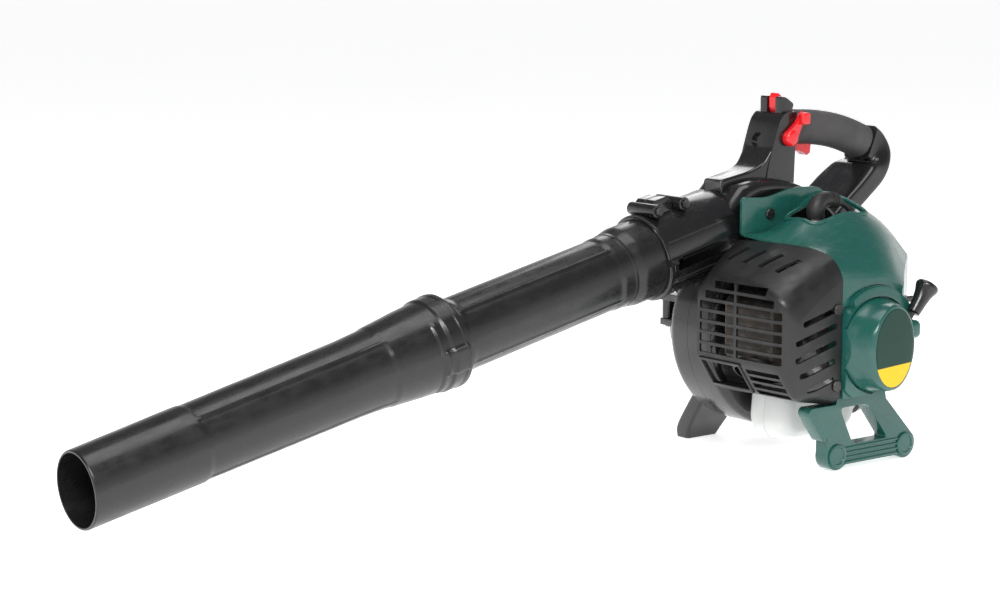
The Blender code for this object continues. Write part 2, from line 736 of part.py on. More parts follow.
def make_air_filter():
    base = box("air_filter_base", (88 + GAP, -104, 130), (94, -56, 184), "black_plastic", 1.5)
    cut(base, cylinder("filter_base_bore", (80, CYLINDER_Y, 168), (100, CYLINDER_Y, 168), 7.0))
    box("air_filter_element", (94 + GAP, -100, 134), (110, -60, 180), "filter_foam", 3.0)


def make_air_filter_cover():
    cover = box("air_filter_cover", (94 + GAP, -104, 130), (119, -56, 184), "black_plastic", 5.0)
    inside = box("filter_cover_hollow", (90, -101.5, 132.5), (113, -58.5, 181.5))
    return cut(cover, inside)


def make_choke_lever():
    pivot = (CHOKE_X, -104.0 - GAP, CHOKE_Z)
    lever = cylinder("choke_lever", (CHOKE_X, pivot[1], CHOKE_Z), (CHOKE_X, pivot[1] - 4, CHOKE_Z), 6.0,
                     "black_plastic", 16)
    arm = box("choke_arm", (CHOKE_X, pivot[1] - 4, CHOKE_Z - 3), (CHOKE_X + 20, pivot[1], CHOKE_Z + 3))
    return join(lever, bevel(arm, 1.2, 1))


CHOKE_X = 104.0
CHOKE_Z = 146.0


def make_primer_bulb():
    profile = [(0.0, 0.0), (6.0, -0.8), (9.0, -4.0), (9.5, -9.0), (0.0, -9.0)]
    return turned("primer_bulb", profile, (71.0, CYLINDER_Y, 136 - GAP - 9.5), (0, 0, -1), "red_plastic", 20)


def make_fuel_tank():
    stations = ((-44.0, 46.0), (-56.0, 50.0), (-84.0, 50.0), (-98.0, 42.0))
    rings = []
    for y, half in stations:
        inset = 50.0 - half
        low, high, left, right = 18.0 + inset, 62.0 - inset * 0.6, -45.0 + inset, 62.0 - inset
        corner = 13.0
        ring = arc(right - corner, high - 6.0, corner, 90 - 62, 90, 2)
        ring += arc(left + corner, high - 6.0 - 0.0, corner, 90, 152, 2)
        ring += arc(left + corner, low + corner, corner, 180, 270, 4)
        ring += arc(right - corner, low + corner, corner, 270, 360, 4)
        rings.append([(x, y, z) for x, z in ring])
    tank = loft("fuel_tank", rings, "tank_plastic")
    neck = cylinder("tank_neck", (50, -72, 42), (68, -72, 47), 13.0)
    join(tank, neck)
    return cut(tank, cylinder("tank_opening", (46, -72, 41), (80, -72, 50.2), 10.0))


def make_fuel_cap():
    """A screw cap on the filler neck; its plug runs down into the opening."""
    axis = (18.0, 0.0, 5.0)
    profile = [(0.0, 12.0), (15.0, 12.0), (17.0, 10.0), (17.0, GAP), (9.5, GAP), (9.5, -8.0), (0.0, -8.0)]
    return turned("fuel_cap", profile, (68, -72, 47), axis, "black_plastic", 20)


# ---------------------------------------------------------------- recoil starter

def make_starter_pulley():
    profile = [(25.0, 154.0), (25.0, 152.5), (20.0, 151.0), (20.0, 147.0), (25.0, 145.5), (25.0, 144.0),
               (5.0, 144.0), (5.0, 154.0)]
    return turned("starter_pulley", profile, (CRANK_X, 0, CRANK_Z), (0, -1, 0), "black_plastic", 28, True)


def make_recoil_spring():
    profile = [(22.0, 161.0), (22.0, 155.0), (8.0, 155.0), (8.0, 161.0)]
    return turned("recoil_spring", profile, (CRANK_X, 0, CRANK_Z), (0, -1, 0), "steel", 24, True)


def oval(y, half_width, half_height, yaw=0.0, count=30):
    """A ring around the crank axis; yaw turns its face towards the rear."""
    ring = []
    for i in range(count):
        turn = 2 * math.pi * i / count
        x = half_width * math.cos(turn)
        lean = x * math.tan(math.radians(yaw))
        ring.append((CRANK_X + x, y + lean, CRANK_Z + half_height * math.sin(turn)))
    return ring


def starter_panel(grow):
    """Outline of the starter housing's flat panel, beside the guard and around the boss."""
    left = boundary_x(COVER_SIDE) + GAP - grow
    outline = [(left, SHROUD_BOTTOM - grow), (left, 157.0 + grow), (-21.0 - grow, 158.5 + grow)]
    outline += arc(CRANK_X, CRANK_Z, 57.0 + grow, 125, 36, 8)
    outline += arc(CRANK_X, CRANK_Z, BOSS_RADIUS + 1.0 + grow, 10, -88, 6)
    return outline


def make_starter_housing():
    """The recoil starter's cup, with a flat panel and the oval boss that carries the label."""
    face = LABEL_FACE
    panel = plate("starter_housing", [starter_panel(0.0)], COVER_SIDE - 2.0, COVER_SIDE + WALL, "green_plastic")
    bevel(panel, 1.0, 1)
    boss = [
        oval(COVER_SIDE + 1.0, BOSS_RADIUS, BOSS_RADIUS),
        oval(COVER_SIDE - 6.0, BOSS_RADIUS - 1.5, BOSS_RADIUS - 1.0),
        oval(face + 8.0, 38.0, BOSS_RADIUS - 3.5, 5.0),
        oval(face + 1.5, LABEL_HALF_WIDTH + 3.0, LABEL_RADIUS + 3.0, LABEL_YAW),
        oval(face, LABEL_HALF_WIDTH + 0.8, LABEL_RADIUS + 0.8, LABEL_YAW),
    ]
    join(panel, loft("boss", boss))
    skirt = cylinder("starter_skirt", (CRANK_X, COVER_SIDE, CRANK_Z), (CRANK_X, -137.5, CRANK_Z), 40.0, None, 30)
    join(panel, skirt)
    inside = [
        oval(-130.0, 38.4, 38.4),
        oval(COVER_SIDE, 38.4, 38.4),
        oval(face + 10.0, 35.0, 38.4, 5.0),
        oval(face + 5.5, LABEL_HALF_WIDTH, LABEL_RADIUS - 1.0, LABEL_YAW),
    ]
    cut(panel, loft("boss_hollow", inside))
    join(panel, cylinder("spring_post", (CRANK_X, -143, CRANK_Z), (CRANK_X, -184, CRANK_Z), 4.5, None, 16))
    guide = box("rope_guide", (44, -178, 122), (61, -160, 140))
    join(panel, bevel(guide, 2.5, 1))
    recess = [oval(face - 5.0, LABEL_HALF_WIDTH + GAP, LABEL_RADIUS + GAP, LABEL_YAW),
              oval(face + 1.2, LABEL_HALF_WIDTH + GAP, LABEL_RADIUS + GAP, LABEL_YAW)]
    cut(panel, loft("label_recess", recess))
    clear_guard = box("guard_clearance", (-80, -200, 40), (boundary_x(COVER_SIDE) + 0.8, -100, 200))
    rope_hole = cylinder("rope_hole", rope_point(-1.0), rope_point(57.0), 3.2, None, 10)
    return cut(panel, clear_guard, rope_hole)


ROPE_START = (33.0, -170.0, 118.0)
ROPE_DIRECTION = Vector((0.62, 0.0, 0.785)).normalized()


def rope_point(distance):
    return tuple(Vector(ROPE_START) + ROPE_DIRECTION * distance)


def make_starter_rope():
    return cylinder("starter_rope", rope_point(4.0), rope_point(36.0), 1.9, "rope", 10)


def make_starter_handle():
    profile = [(0.0, 70.0), (7.0, 70.0), (11.0, 68.5), (11.5, 66.0), (8.5, 56.0), (7.0, 44.0),
               (6.2, 36.0 + GAP), (0.0, 36.0 + GAP)]
    return turned("starter_handle", profile, ROPE_START, ROPE_DIRECTION, "black_plastic", 20)


def make_label():
    front = oval(LABEL_FACE, LABEL_HALF_WIDTH, LABEL_RADIUS, LABEL_YAW)
    back = oval(LABEL_FACE + 1.2 - GAP, LABEL_HALF_WIDTH, LABEL_RADIUS, LABEL_YAW)
    return loft("label_disc", [front, back], "label_film")


# ---------------------------------------------------------------- engine covers

def boundary_x(y):
    """X of the seam between the muffler guard and the engine shroud."""
    return -56.0 - 0.212 * (y + 42.0)


GUARD_STATIONS = (
    # y, front x, z of the front's top edge, z halfway up the slope, z at the seam
    (-37.5, -103.0, 167.0, 192.0, 211.0),
    (-56.0, -103.0, 186.0, 203.0, 213.5),
    (-100.0, -103.0, 183.0, 202.0, 213.0),
    (-131.0, -102.5, 177.0, 197.0, 210.5),
    (-147.0, -101.0, 170.0, 190.0, 205.0),
    (-155.0, -96.0, 161.0, 180.0, 196.0),
    (-160.0, -88.0, 150.0, 168.0, 185.0),
)
GUARD_LOW = 64.0


def guard_rings(offset, rear):
    """Rings of the guard's outside, or of its hollow when offset is the wall thickness."""
    rings = []
    for y, front, top, middle, seam in GUARD_STATIONS:
        front += offset
        low = GUARD_LOW + offset + max(0.0, -147.0 - y) * 0.6
        back = rear if rear is not None else boundary_x(y)
        slope_x = front + (boundary_x(y) - front) * 0.5
        rings.append([
            (back, y, low), (front + 22.0, y, low + 8.0), (front, y, low + 40.0),
            (front, y, top - offset), (slope_x, y, middle - offset), (boundary_x(y), y, seam - offset),
            (back, y, seam - offset),
        ])
    if offset:
        rings = [[(x, y + offset if y < -140 else y, z) for x, y, z in ring] for ring in rings]
        far = [(x, 0.0, z) for x, y, z in rings[0]]
        rings = [far] + rings
    return rings


def make_muffler_guard():
    guard = loft("muffler_guard", guard_rings(0.0, None), "guard_plastic")
    cut(guard, loft("guard_hollow", guard_rings(WALL, 60.0)))
    cut_grille(guard)
    cut(guard, spout_solid("spout_fit_guard", GAP, GAP))
    for number in range(5):
        length = (17.0, 23.0, 27.0, 27.0, 22.0)[number]
        slot = box(f"side_slot_{number}", (-length, -175.0, -2.8), (length, -150.0, 2.8))
        slot.location = point(-45.0 - length * 0.7, 0.0, 87.0 + 16.2 * number)
        slot.rotation_euler = (0.0, math.radians(-14.0), 0.0)
        cut(guard, slot)
    for number in range(4):
        slot = box(f"top_slot_{number}", (-13.0, -3.0, -30.0), (13.0, 3.0, 30.0))
        slot.location = point(-75.0, -64.0 - 20.0 * number, 205.0)
        slot.rotation_euler = (0.0, math.radians(-38.0), math.radians(-18.0))
        cut(guard, slot)
    for z in GUARD_SCREW_Z:
        hole_ends = [(GUARD_SCREW_X, y, z) for y in (-150.0, -170.0)]
        cut(guard, cylinder(f"guard_screw_hole_{z:.0f}", *hole_ends, 3.4, None, 12))
    return guard


GUARD_SCREW_X = -37.0
GUARD_SCREW_Z = (84.0, 157.0)
BAR_PITCH = 10.6
BAR_HEIGHT = 3.6


def cut_grille(guard):
    """Horizontal openings in the guard's front with a post in the middle, and the exhaust port."""
    for number in range(7):
        low = 108.5 + BAR_PITCH * number
        high = low + BAR_PITCH - BAR_HEIGHT
        y_far = -41.0 - max(0.0, high - 163.0) * 1.2
        y_near = -150.0 + max(0.0, high - 160.0) * 1.0
        for side, (y_a, y_b) in enumerate(((y_far, -88.0), (-92.0, y_near))):
            cut(guard, box(f"grille_{number}_{side}", (-112, y_b, low), (-88, y_a, high)))
    cut(guard, box("exhaust_port", (-112, -93.0, 76.0), (-66, -42.0, 100.0)))
    for number in range(2):
        low = 79.0 + 11.0 * number
        cut(guard, box(f"lower_louvre_{number}", (-112, -142.0, low), (-72, -102.0, low + 6.5)))


def make_guard_screws():
    profile = [(0.0, 2.4), (5.0, 2.4), (5.6, 1.4), (5.6, GAP), (3.0, GAP), (3.0, -6.0), (0.0, -6.0)]
    for name, z in zip(("guard_screw_lower", "guard_screw_upper"), GUARD_SCREW_Z):
        turned(name, profile, (GUARD_SCREW_X, COVER_SIDE, z), (0, -1, 0), "steel", 16)


SHROUD_STATIONS = (
    # y, z of the front edge, then (x, z) of five points over the top and down the rear
    (-46.0, 220.0, ((-24.0, 219.0), (12.0, 238.0), (50.0, 254.0), (98.0, 232.0), (128.0, 192.0))),
    (-80.0, 215.0, ((-24.0, 229.0), (14.0, 246.0), (50.0, 247.0), (95.0, 227.0), (127.0, 192.0))),
    (-104.0, 214.0, ((-22.0, 224.0), (14.0, 236.0), (46.0, 237.0), (84.0, 221.0), (117.0, 191.0))),
    (-125.0, 212.0, ((-16.0, 217.0), (10.0, 223.0), (38.0, 223.0), (67.0, 212.0), (93.0, 187.0))),
    (-145.0, 205.5, ((-14.0, 206.0), (8.0, 206.0), (30.0, 205.0), (51.0, 197.0), (69.0, 180.0))),
    (-156.0, 195.0, ((-14.0, 193.0), (8.0, 191.0), (26.0, 190.0), (43.0, 184.0), (57.0, 172.0))),
    (-160.0, 185.0, ((-14.0, 184.0), (8.0, 182.5), (24.0, 182.0), (38.0, 177.0), (50.0, 168.0))),
)
SHROUD_BOTTOM = 71.0
REAR_BOTTOM = 121.0


def shroud_rings(offset):
    """Rings of the shroud's outside, or of its hollow, open in front, below and beside the housing."""
    rings = []
    for y, front_z, over in SHROUD_STATIONS:
        front = boundary_x(y) + GAP
        blend = min(1.0, max(0.0, (-y - 125.0) / 31.0))
        low, rear_low = SHROUD_BOTTOM, REAR_BOTTOM
        if offset:
            front -= 1.0
            low = rear_low = 20.0
        rear_x, rear_z = over[-1]
        ring = [(front, y, low), (front, y, front_z - offset)]
        ring += [(x, y, z - offset) for x, z in over[:-1]]
        ring += [(rear_x - offset, y, rear_z - offset)]
        ring += [(rear_x - offset, y, rear_low + 20.0), (rear_x - 10.0 - 10.0 * blend - offset, y, rear_low)]
        rings.append(ring)
    if offset:
        rings = [[(x, y + offset, z) for x, y, z in ring] for ring in rings]
        rings.insert(0, [(x, -30.0, z) for x, y, z in rings[0]])
    return rings


def tab_panel():
    """The upright panel that is screwed to the fan housing, in front of the spark plug."""
    outline = [(-57.0, 217.0), (-24.0, 215.0), (0.0, 228.0), (46.0, 246.0), (58.0, 250.0), (46.0, 258.5),
               (12.0, 260.0), (-24.0, 252.0), (-57.0, 254.5)]
    return plate("tab_panel", [outline], -49.0, -46.0)


def make_engine_shroud():
    shroud = loft("engine_shroud", shroud_rings(0.0), "green_plastic")
    cut(shroud, loft("shroud_hollow", shroud_rings(WALL)))
    join(shroud, tab_panel())
    plug_opening = box("plug_opening", (-22.0, -102.0, 215.0), (64.0, -58.0, 300.0))
    cut(shroud, bevel(plug_opening, 12.0, 2))
    cut(shroud, plate("panel_clearance", [starter_panel(2 * GAP)], COVER_SIDE - 10.0, COVER_SIDE + 8.0))
    cut(shroud, box("side_lower", (-120, -171, 0), (160, -121.3, CRANK_Z + 1.3)))
    cut(shroud, box("filter_opening", (86, -112.0, 60.0), (150, -54.0, 186.0)))
    return cut(shroud, cylinder("shroud_screw_hole", (-20, -60, 236), (-20, -30, 236), 3.4, None, 12))


def make_shroud_screw():
    profile = [(0.0, 2.4), (5.0, 2.4), (5.6, 1.4), (5.6, GAP), (3.0, GAP), (3.0, -2.4), (0.0, -2.4)]
    return turned("shroud_screw", profile, (-20, -49, 236), (0, -1, 0), "steel", 16)


# ---------------------------------------------------------------- stand

def make_stand():
    bar_z, bar_r = 14.0, 14.0
    left, right = -26.0, 67.0
    outline = [(-28.5, 63.6), (-62.0, 63.6), (-65.0, 58.0), (-42.0, 26.0)]
    outline += arc(left, bar_z, bar_r, 165, 300, 6)
    outline += [(left + 12.0, 4.0), (right - 12.0, 4.0)]
    outline += arc(right, bar_z, bar_r, 240, 390, 6)
    outline += [(40.0, 62.0), (38.0, 70.0), (-27.0, 70.0)]
    window = [(-23.0, 60.0), (-5.0, 23.0), (43.0, 23.0), (14.0, 60.0)]
    return plate("stand_frame", [outline, window], -152.0, -137.0, "green_plastic", 2.0)


# ---------------------------------------------------------------- handle

SWITCH_TOP = 346.0


def make_handle_post():
    outline = [(-1.0, 240.0), (3.0, 272.0), (8.0, 290.0), (17.0, 317.0), (21.0, 325.0), (28.0, 331.0),
               (42.4, 331.0), (42.4, 312.0), (41.0, 296.0), (39.0, 240.0)]
    post = plate("handle_post", [outline], -POST_HALF_WIDTH, POST_HALF_WIDTH, "black_plastic")
    bevel(post, 3.0, 2)
    base = [(-51.0, 250.0), (-50.0, 268.0), (-16.0, 274.0), (-4.0, 278.0), (8.0, 296.0), (14.0, 296.0),
            (14.0, 250.0)]
    join(post, bevel(plate("post_base", [base], -13.0, 13.0), 2.0, 1))
    for number, (low, high) in enumerate(((-15.0, -6.0), (6.0, 15.0))):
        ear = plate(f"switch_ear_{number}", [[(27.0, 328.0), (27.0, SWITCH_TOP), (33.0, SWITCH_TOP - 1.0),
                                              (44.0, 338.0), (42.4, 333.5), (42.4, 328.0)]], low, high)
        join(post, ear)
    switch_well = box("switch_well", (28.2, -6.2, 322.0), (41.4, 6.2, 350.0))
    cut(post, switch_well)
    front_recess = cylinder("front_recess", (2, 4, 306), (16, 4, 302), 7.5)
    cut(post, front_recess)
    cut(post, *housing_envelope("post"))
    return cut(post, cylinder("lever_bore", (LEVER_X, -30, LEVER_Z), (LEVER_X, -12, LEVER_Z), 4.0 + GAP))


LEVER_X = 31.0
LEVER_Z = 305.0


def make_cruise_lever():
    outline = arc(LEVER_X, LEVER_Z, 8.0, 110, 340, 8) + [(46.0, 315.0), (53.0, 326.0), (46.0, 332.0),
                                                         (38.0, 320.0)]
    near = -POST_HALF_WIDTH - GAP
    lever = plate("cruise_lever", [outline], near - 6.0, near, "red_plastic", 1.5)
    tab = box("lever_tab", (40.0, near - 11.0, 318.0), (52.0, near - 3.0, 330.0))
    join(lever, bevel(tab, 2.0, 1))
    return join(lever, cylinder("lever_pivot", (LEVER_X, near - 3, LEVER_Z), (LEVER_X, -14, LEVER_Z), 4.0,
                                None, 16))


def make_stop_switch():
    outline = [(29.0, 335.0), (29.0, 344.0), (32.0, 349.0), (38.5, 344.0), (41.0, 336.0), (37.0, 325.0),
               (33.0, 325.0)]
    return plate("stop_switch", [outline], -5.6, 5.6, "red_plastic", 1.0)


GRIP_PATH = (
    # centre of the grip (x, z) and its direction in degrees
    ((43.0, 313.5), 0.0),
    ((62.0, 313.3), -1.0),
    ((88.0, 311.5), -6.0),
    ((114.0, 307.0), -13.0),
    ((136.0, 300.5), -19.0),
    ((155.0, 293.0), -24.0),
)


def grip_rings(half_height, half_width, trim=0.0):
    rings = []
    for number, (centre, direction) in enumerate(GRIP_PATH):
        shift = trim if number == 0 else (-trim if number == len(GRIP_PATH) - 1 else 0.0)
        turn = math.radians(direction)
        moved = (centre[0] + shift * math.cos(turn), centre[1] + shift * math.sin(turn))
        rings.append(section(moved, direction, half_height, half_width, 20, 2.3))
    return rings


def trigger_slot(tag):
    return box("trigger_slot_" + tag, (46.0, -6.0, 270.0), (80.0, 6.0, 309.0))


def make_handle_bar():
    bar = loft("handle_bar", grip_rings(13.0, 12.0, -0.2), "black_plastic")
    return cut(bar, trigger_slot("bar"))


def make_grip_sleeve():
    outer = grip_rings(GRIP_HALF_HEIGHT, GRIP_HALF_WIDTH)
    inner = grip_rings(13.0 + GAP, 12.0 + GAP)
    sleeve = hollow_loft("grip_sleeve", outer, inner, "grip_rubber")
    return cut(sleeve, trigger_slot("sleeve"))


TRIGGER_X = 51.0
TRIGGER_Z = 303.0


def make_throttle_trigger():
    outline = [(47.5, 299.0), (47.5, 306.0), (52.0, 307.5), (74.0, 303.0), (78.0, 296.0), (77.0, 287.0),
               (73.0, 284.5), (68.0, 288.0), (58.0, 290.0), (51.0, 288.0)]
    return plate("throttle_trigger", [outline], -5.6, 5.6, "red_plastic", 1.2)


def make_rear_arm():
    stations = (
        ((155.5, 292.8), -24.0, 18.5, 17.5),
        ((163.0, 287.5), -36.0, 17.0, 18.5),
        ((165.0, 277.0), -74.0, 14.0, 24.0),
        ((152.0, 263.0), -124.0, 12.0, 31.0),
        ((131.0, 248.0), -145.0, 11.0, 34.0),
        ((107.0, 230.0), -144.0, 11.0, 34.0),
        ((83.0, 210.0), -140.0, 11.0, 34.0),
    )
    rings = [section(c, d, h, w, 20, 3.2) for c, d, h, w in stations]
    arm = loft("handle_rear_arm", rings, "black_plastic")
    return cut(arm, *housing_envelope("arm"))


# ---------------------------------------------------------------- assembly

def build():
    make_nozzle_tube()
    make_upper_tube()
    make_fan_housing_near()
    make_fan_housing_far()
    make_clamp_screws()
    make_inlet_door()
    make_inlet_hinge_pin()
    make_inlet_latch()
    make_impeller()
    make_crankshaft()
    make_flywheel()
    make_crankcase()
    make_cylinder()
    make_piston()
    make_spark_plug()
    make_spark_plug_boot()
    make_ignition_lead()
    make_ignition_coil()
    make_muffler()
    make_intake()
    make_carburettor()
    make_air_filter()
    make_air_filter_cover()
    make_choke_lever()
    make_primer_bulb()
    make_fuel_tank()
    make_fuel_cap()
    make_starter_pulley()
    make_recoil_spring()
    make_starter_housing()
    make_starter_rope()
    make_starter_handle()
    make_label()
    make_muffler_guard()
    make_guard_screws()
    make_engine_shroud()
    make_shroud_screw()
    make_stand()
    make_handle_post()
    make_cruise_lever()
    make_stop_switch()
    make_handle_bar()
    make_grip_sleeve()
    make_throttle_trigger()
    make_rear_arm()


def centre_on_origin():
    """Put the origin on the ground, under the middle of the whole machine."""
    for item in bpy.data.objects:
        item.location += point(290.1, 66.35, 0.0)


clear_scene()
PARTS = make_collection("leaf_blower")
CUTTERS = make_collection("cutters")
build()
centre_on_origin()
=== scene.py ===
"""Looks of the handheld leaf blower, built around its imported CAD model.

Positions are written in millimetres from the point on the ground under the crankshaft and the middle
of the blower tube; point() turns them into the row frame.
"""
import json
from math import copysign, cos, degrees, pi, radians, sin, sqrt, tan

import bmesh
import bpy
from mathutils import Matrix, Vector
from mathutils.bvhtree import BVHTree


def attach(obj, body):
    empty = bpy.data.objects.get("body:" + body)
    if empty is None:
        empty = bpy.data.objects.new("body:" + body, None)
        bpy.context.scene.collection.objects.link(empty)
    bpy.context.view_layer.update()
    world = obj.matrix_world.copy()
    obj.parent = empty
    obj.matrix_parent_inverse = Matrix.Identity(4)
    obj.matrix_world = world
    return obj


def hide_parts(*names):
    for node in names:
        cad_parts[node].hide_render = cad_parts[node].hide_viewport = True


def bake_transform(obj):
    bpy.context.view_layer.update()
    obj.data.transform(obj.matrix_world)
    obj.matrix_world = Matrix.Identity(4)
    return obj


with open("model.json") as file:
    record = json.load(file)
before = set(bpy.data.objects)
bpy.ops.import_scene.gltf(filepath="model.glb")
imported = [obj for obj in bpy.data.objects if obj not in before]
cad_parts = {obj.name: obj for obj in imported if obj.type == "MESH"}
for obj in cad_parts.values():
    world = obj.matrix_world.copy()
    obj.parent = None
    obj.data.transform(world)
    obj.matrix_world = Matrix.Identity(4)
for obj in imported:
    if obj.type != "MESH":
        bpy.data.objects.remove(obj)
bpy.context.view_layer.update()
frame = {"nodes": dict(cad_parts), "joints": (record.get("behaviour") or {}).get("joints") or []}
NODES = frame["nodes"]
JOINTS = {joint["name"]: joint for joint in frame["joints"]}

MM = 0.001
CRANK_X = 12.0
ROTOR_Y = -60.0
CRANK_Z = 119.0
ORIGIN = Vector(JOINTS["rotor_spin"]["pos_m"]) - Vector((CRANK_X, ROTOR_Y, CRANK_Z)) * MM

TUBE_PITCH = radians(12.85)
FORWARD = Vector((-cos(TUBE_PITCH), 0.0, -sin(TUBE_PITCH)))
UPWARD = Vector((-sin(TUBE_PITCH), 0.0, cos(TUBE_PITCH)))
RIM = Vector((-143.0, 0.0, 197.0))
TOWARDS_NEAR = Vector((0, -1, 0))
SPOUT_RADIUS = 42.0
COLLAR_START = 244.5
MOUTH_START = 520.0
NOZZLE_END = 628.5
HOUSING_NEAR = -36.0
HOUSING_FAR = 32.0
COVER_SIDE = -160.0
LABEL_FACE = -188.0
BOSS_RADIUS = 46.0
LABEL_HALF_WIDTH = 31.5
LABEL_RADIUS = 37.5
LABEL_YAW = 10.0
LABEL_FOOT_TOP = 102.0
PLUG_Y = -80.0
LATCH_X = 92
POST_HALF = 21.0
LEVER_X = 31.0
LEVER_Z = 305.0
WALL = 2.5
GAP = 0.3
SHARP_ANGLE = radians(38.0)


# ---- materials

def feed(tree, node, inputs):
    """Set the node's inputs by name; a value that is a socket is linked."""
    for name, value in inputs.items():
        if isinstance(value, bpy.types.NodeSocket):
            tree.links.new(value, node.inputs[name])
        else:
            node.inputs[name].default_value = value


class Finish:
    """A procedural material: a Principled shader with noise on colour, roughness and height."""

    def __init__(self, name, colour, roughness, metallic=0.0):
        self.material = bpy.data.materials.new(name)
        self.material.use_nodes = True
        self.tree = self.material.node_tree
        self.shader = self.tree.nodes["Principled BSDF"]
        self.set(Metallic=metallic)
        self.colour = colour
        self.roughness = roughness
        self.height = None
        self.place = self.tree.nodes.new("ShaderNodeTexCoord").outputs["Object"]

    def set(self, **inputs):
        """Set or link the shader's own inputs; an underscore stands for a space."""
        feed(self.tree, self.shader, {name.replace("_", " "): value for name, value in inputs.items()})

    def node(self, kind, inputs):
        made = self.tree.nodes.new(kind)
        feed(self.tree, made, inputs)
        return made

    def noise(self, scale, detail=4.0, stretch=(1.0, 1.0, 1.0)):
        mapping = self.node("ShaderNodeMapping", {"Scale": stretch, "Vector": self.place})
        inputs = {"Scale": scale, "Detail": detail, "Vector": mapping.outputs["Vector"]}
        return self.node("ShaderNodeTexNoise", inputs).outputs["Fac"]

    def cells(self, scale):
        return self.node("ShaderNodeTexVoronoi", {"Scale": scale, "Vector": self.place}).outputs["Distance"]

    def spread(self, value, low, high, from_low=0.35, from_high=0.65):
        inputs = {"From Min": from_low, "From Max": from_high, "To Min": low, "To Max": high, "Value": value}
        return self.node("ShaderNodeMapRange", inputs).outputs["Result"]

    def mixed(self, factor, first, second):
        """A blend of two colours, which becomes the base colour."""
        mix = self.tree.nodes.new("ShaderNodeMix")
        mix.data_type = "RGBA"
        feed(self.tree, mix, {"A": first, "B": second, "Factor": factor})
        self.set(Base_Color=mix.outputs["Result"])
        return mix.outputs["Result"]

    def vary_colour(self, value, other, amount):
        return self.mixed(self.spread(value, 0.0, amount), (*self.colour, 1.0), (*other, 1.0))

    def vary_roughness(self, value, spread):
        low, high = max(0.02, self.roughness - spread), min(1.0, self.roughness + spread)
        self.set(Roughness=self.spread(value, low, high))

    def bump(self, value, strength, distance):
        """Add a layer of relief; distance is its depth in metres."""
        bump = self.node("ShaderNodeBump", {"Strength": strength, "Distance": distance, "Height": value})
        if self.height:
            self.tree.links.new(self.height, bump.inputs["Normal"])
        self.height = bump.outputs["Normal"]
        self.set(Normal=self.height)


def moulded(name, colour, dusty, roughness, coat):
    """Injection-moulded plastic: orange-peel relief, faint handling marks and a little dust."""
    finish = Finish(name, colour, roughness)
    finish.vary_colour(finish.noise(22.0, 5.0), dusty, 0.5)
    finish.vary_roughness(finish.noise(60.0, 6.0, (1.0, 3.0, 1.0)), 0.07)
    finish.bump(finish.noise(1400.0, 2.0), 0.35, 0.00004)
    finish.bump(finish.noise(30.0, 2.0), 0.25, 0.0002)
    finish.set(Coat_Weight=coat, Coat_Roughness=0.12)
    return finish.material


def leathered(name, colour, dusty, roughness, scale, depth):
    """Plastic or rubber with a cellular grain."""
    finish = Finish(name, colour, roughness)
    finish.vary_colour(finish.noise(35.0, 5.0), dusty, 0.6)
    finish.vary_roughness(finish.noise(90.0, 5.0), 0.08)
    finish.bump(finish.cells(scale), 0.5, depth)
    finish.bump(finish.noise(25.0, 2.0), 0.2, 0.0002)
    return finish.material


def metal(name, colour, stained, roughness, depth, stretch=1.0):
    """Metal with a brushed or cast surface and darker stains; stretch draws the marks out along Z."""
    finish = Finish(name, colour, roughness, 0.95)
    finish.vary_colour(finish.noise(45.0, 6.0), stained, 0.8)
    finish.vary_roughness(finish.noise(120.0, 5.0, (1.0, 1.0, stretch)), 0.14)
    finish.bump(finish.noise(700.0, 3.0, (1.0, 1.0, stretch)), 0.4, depth)
    return finish.material


def tank_material():
    """Milky polyethylene with a soft flow texture; light passes through it."""
    finish = Finish("fuel_tank_plastic", (0.86, 0.87, 0.86), 0.42)
    finish.vary_colour(finish.noise(14.0, 3.0), (0.74, 0.75, 0.73), 0.6)
    finish.vary_roughness(finish.noise(70.0, 4.0), 0.06)
    finish.bump(finish.noise(500.0, 2.0), 0.3, 0.00006)
    finish.set(Subsurface_Weight=0.35, Subsurface_Radius=(0.012, 0.012, 0.012))
    return finish.material


def braid_material():
    """Dark cord with the bands of its braid."""
    finish = Finish("starter_cord", (0.035, 0.035, 0.036), 0.85)
    bands = {"Scale": 260.0, "Distortion": 2.0, "Vector": finish.place}
    wave = finish.node("ShaderNodeTexWave", bands).outputs["Fac"]
    finish.vary_colour(wave, (0.1, 0.1, 0.1), 0.7)
    finish.vary_roughness(finish.noise(300.0), 0.08)
    finish.bump(wave, 0.8, 0.0004)
    return finish.material


def label_material():
    """Glossy film, dark green with a yellow foot."""
    finish = Finish("label_print", (0.0, 0.035, 0.022), 0.22)
    green = finish.vary_colour(finish.noise(18.0, 3.0), (0.004, 0.06, 0.04), 0.6)
    height = finish.node("ShaderNodeSeparateXYZ", {"Vector": finish.place}).outputs["Z"]
    edge = (ORIGIN + Vector((0.0, 0.0, LABEL_FOOT_TOP)) * MM).z
    foot = finish.spread(height, 1.0, 0.0, edge - 0.0002, edge + 0.0002)
    finish.mixed(foot, green, (0.93, 0.6, 0.012, 1.0))
    finish.vary_roughness(finish.noise(80.0, 5.0), 0.06)
    finish.bump(finish.noise(900.0, 2.0), 0.2, 0.00003)
    finish.set(Specular_IOR_Level=0.18)
    return finish.material


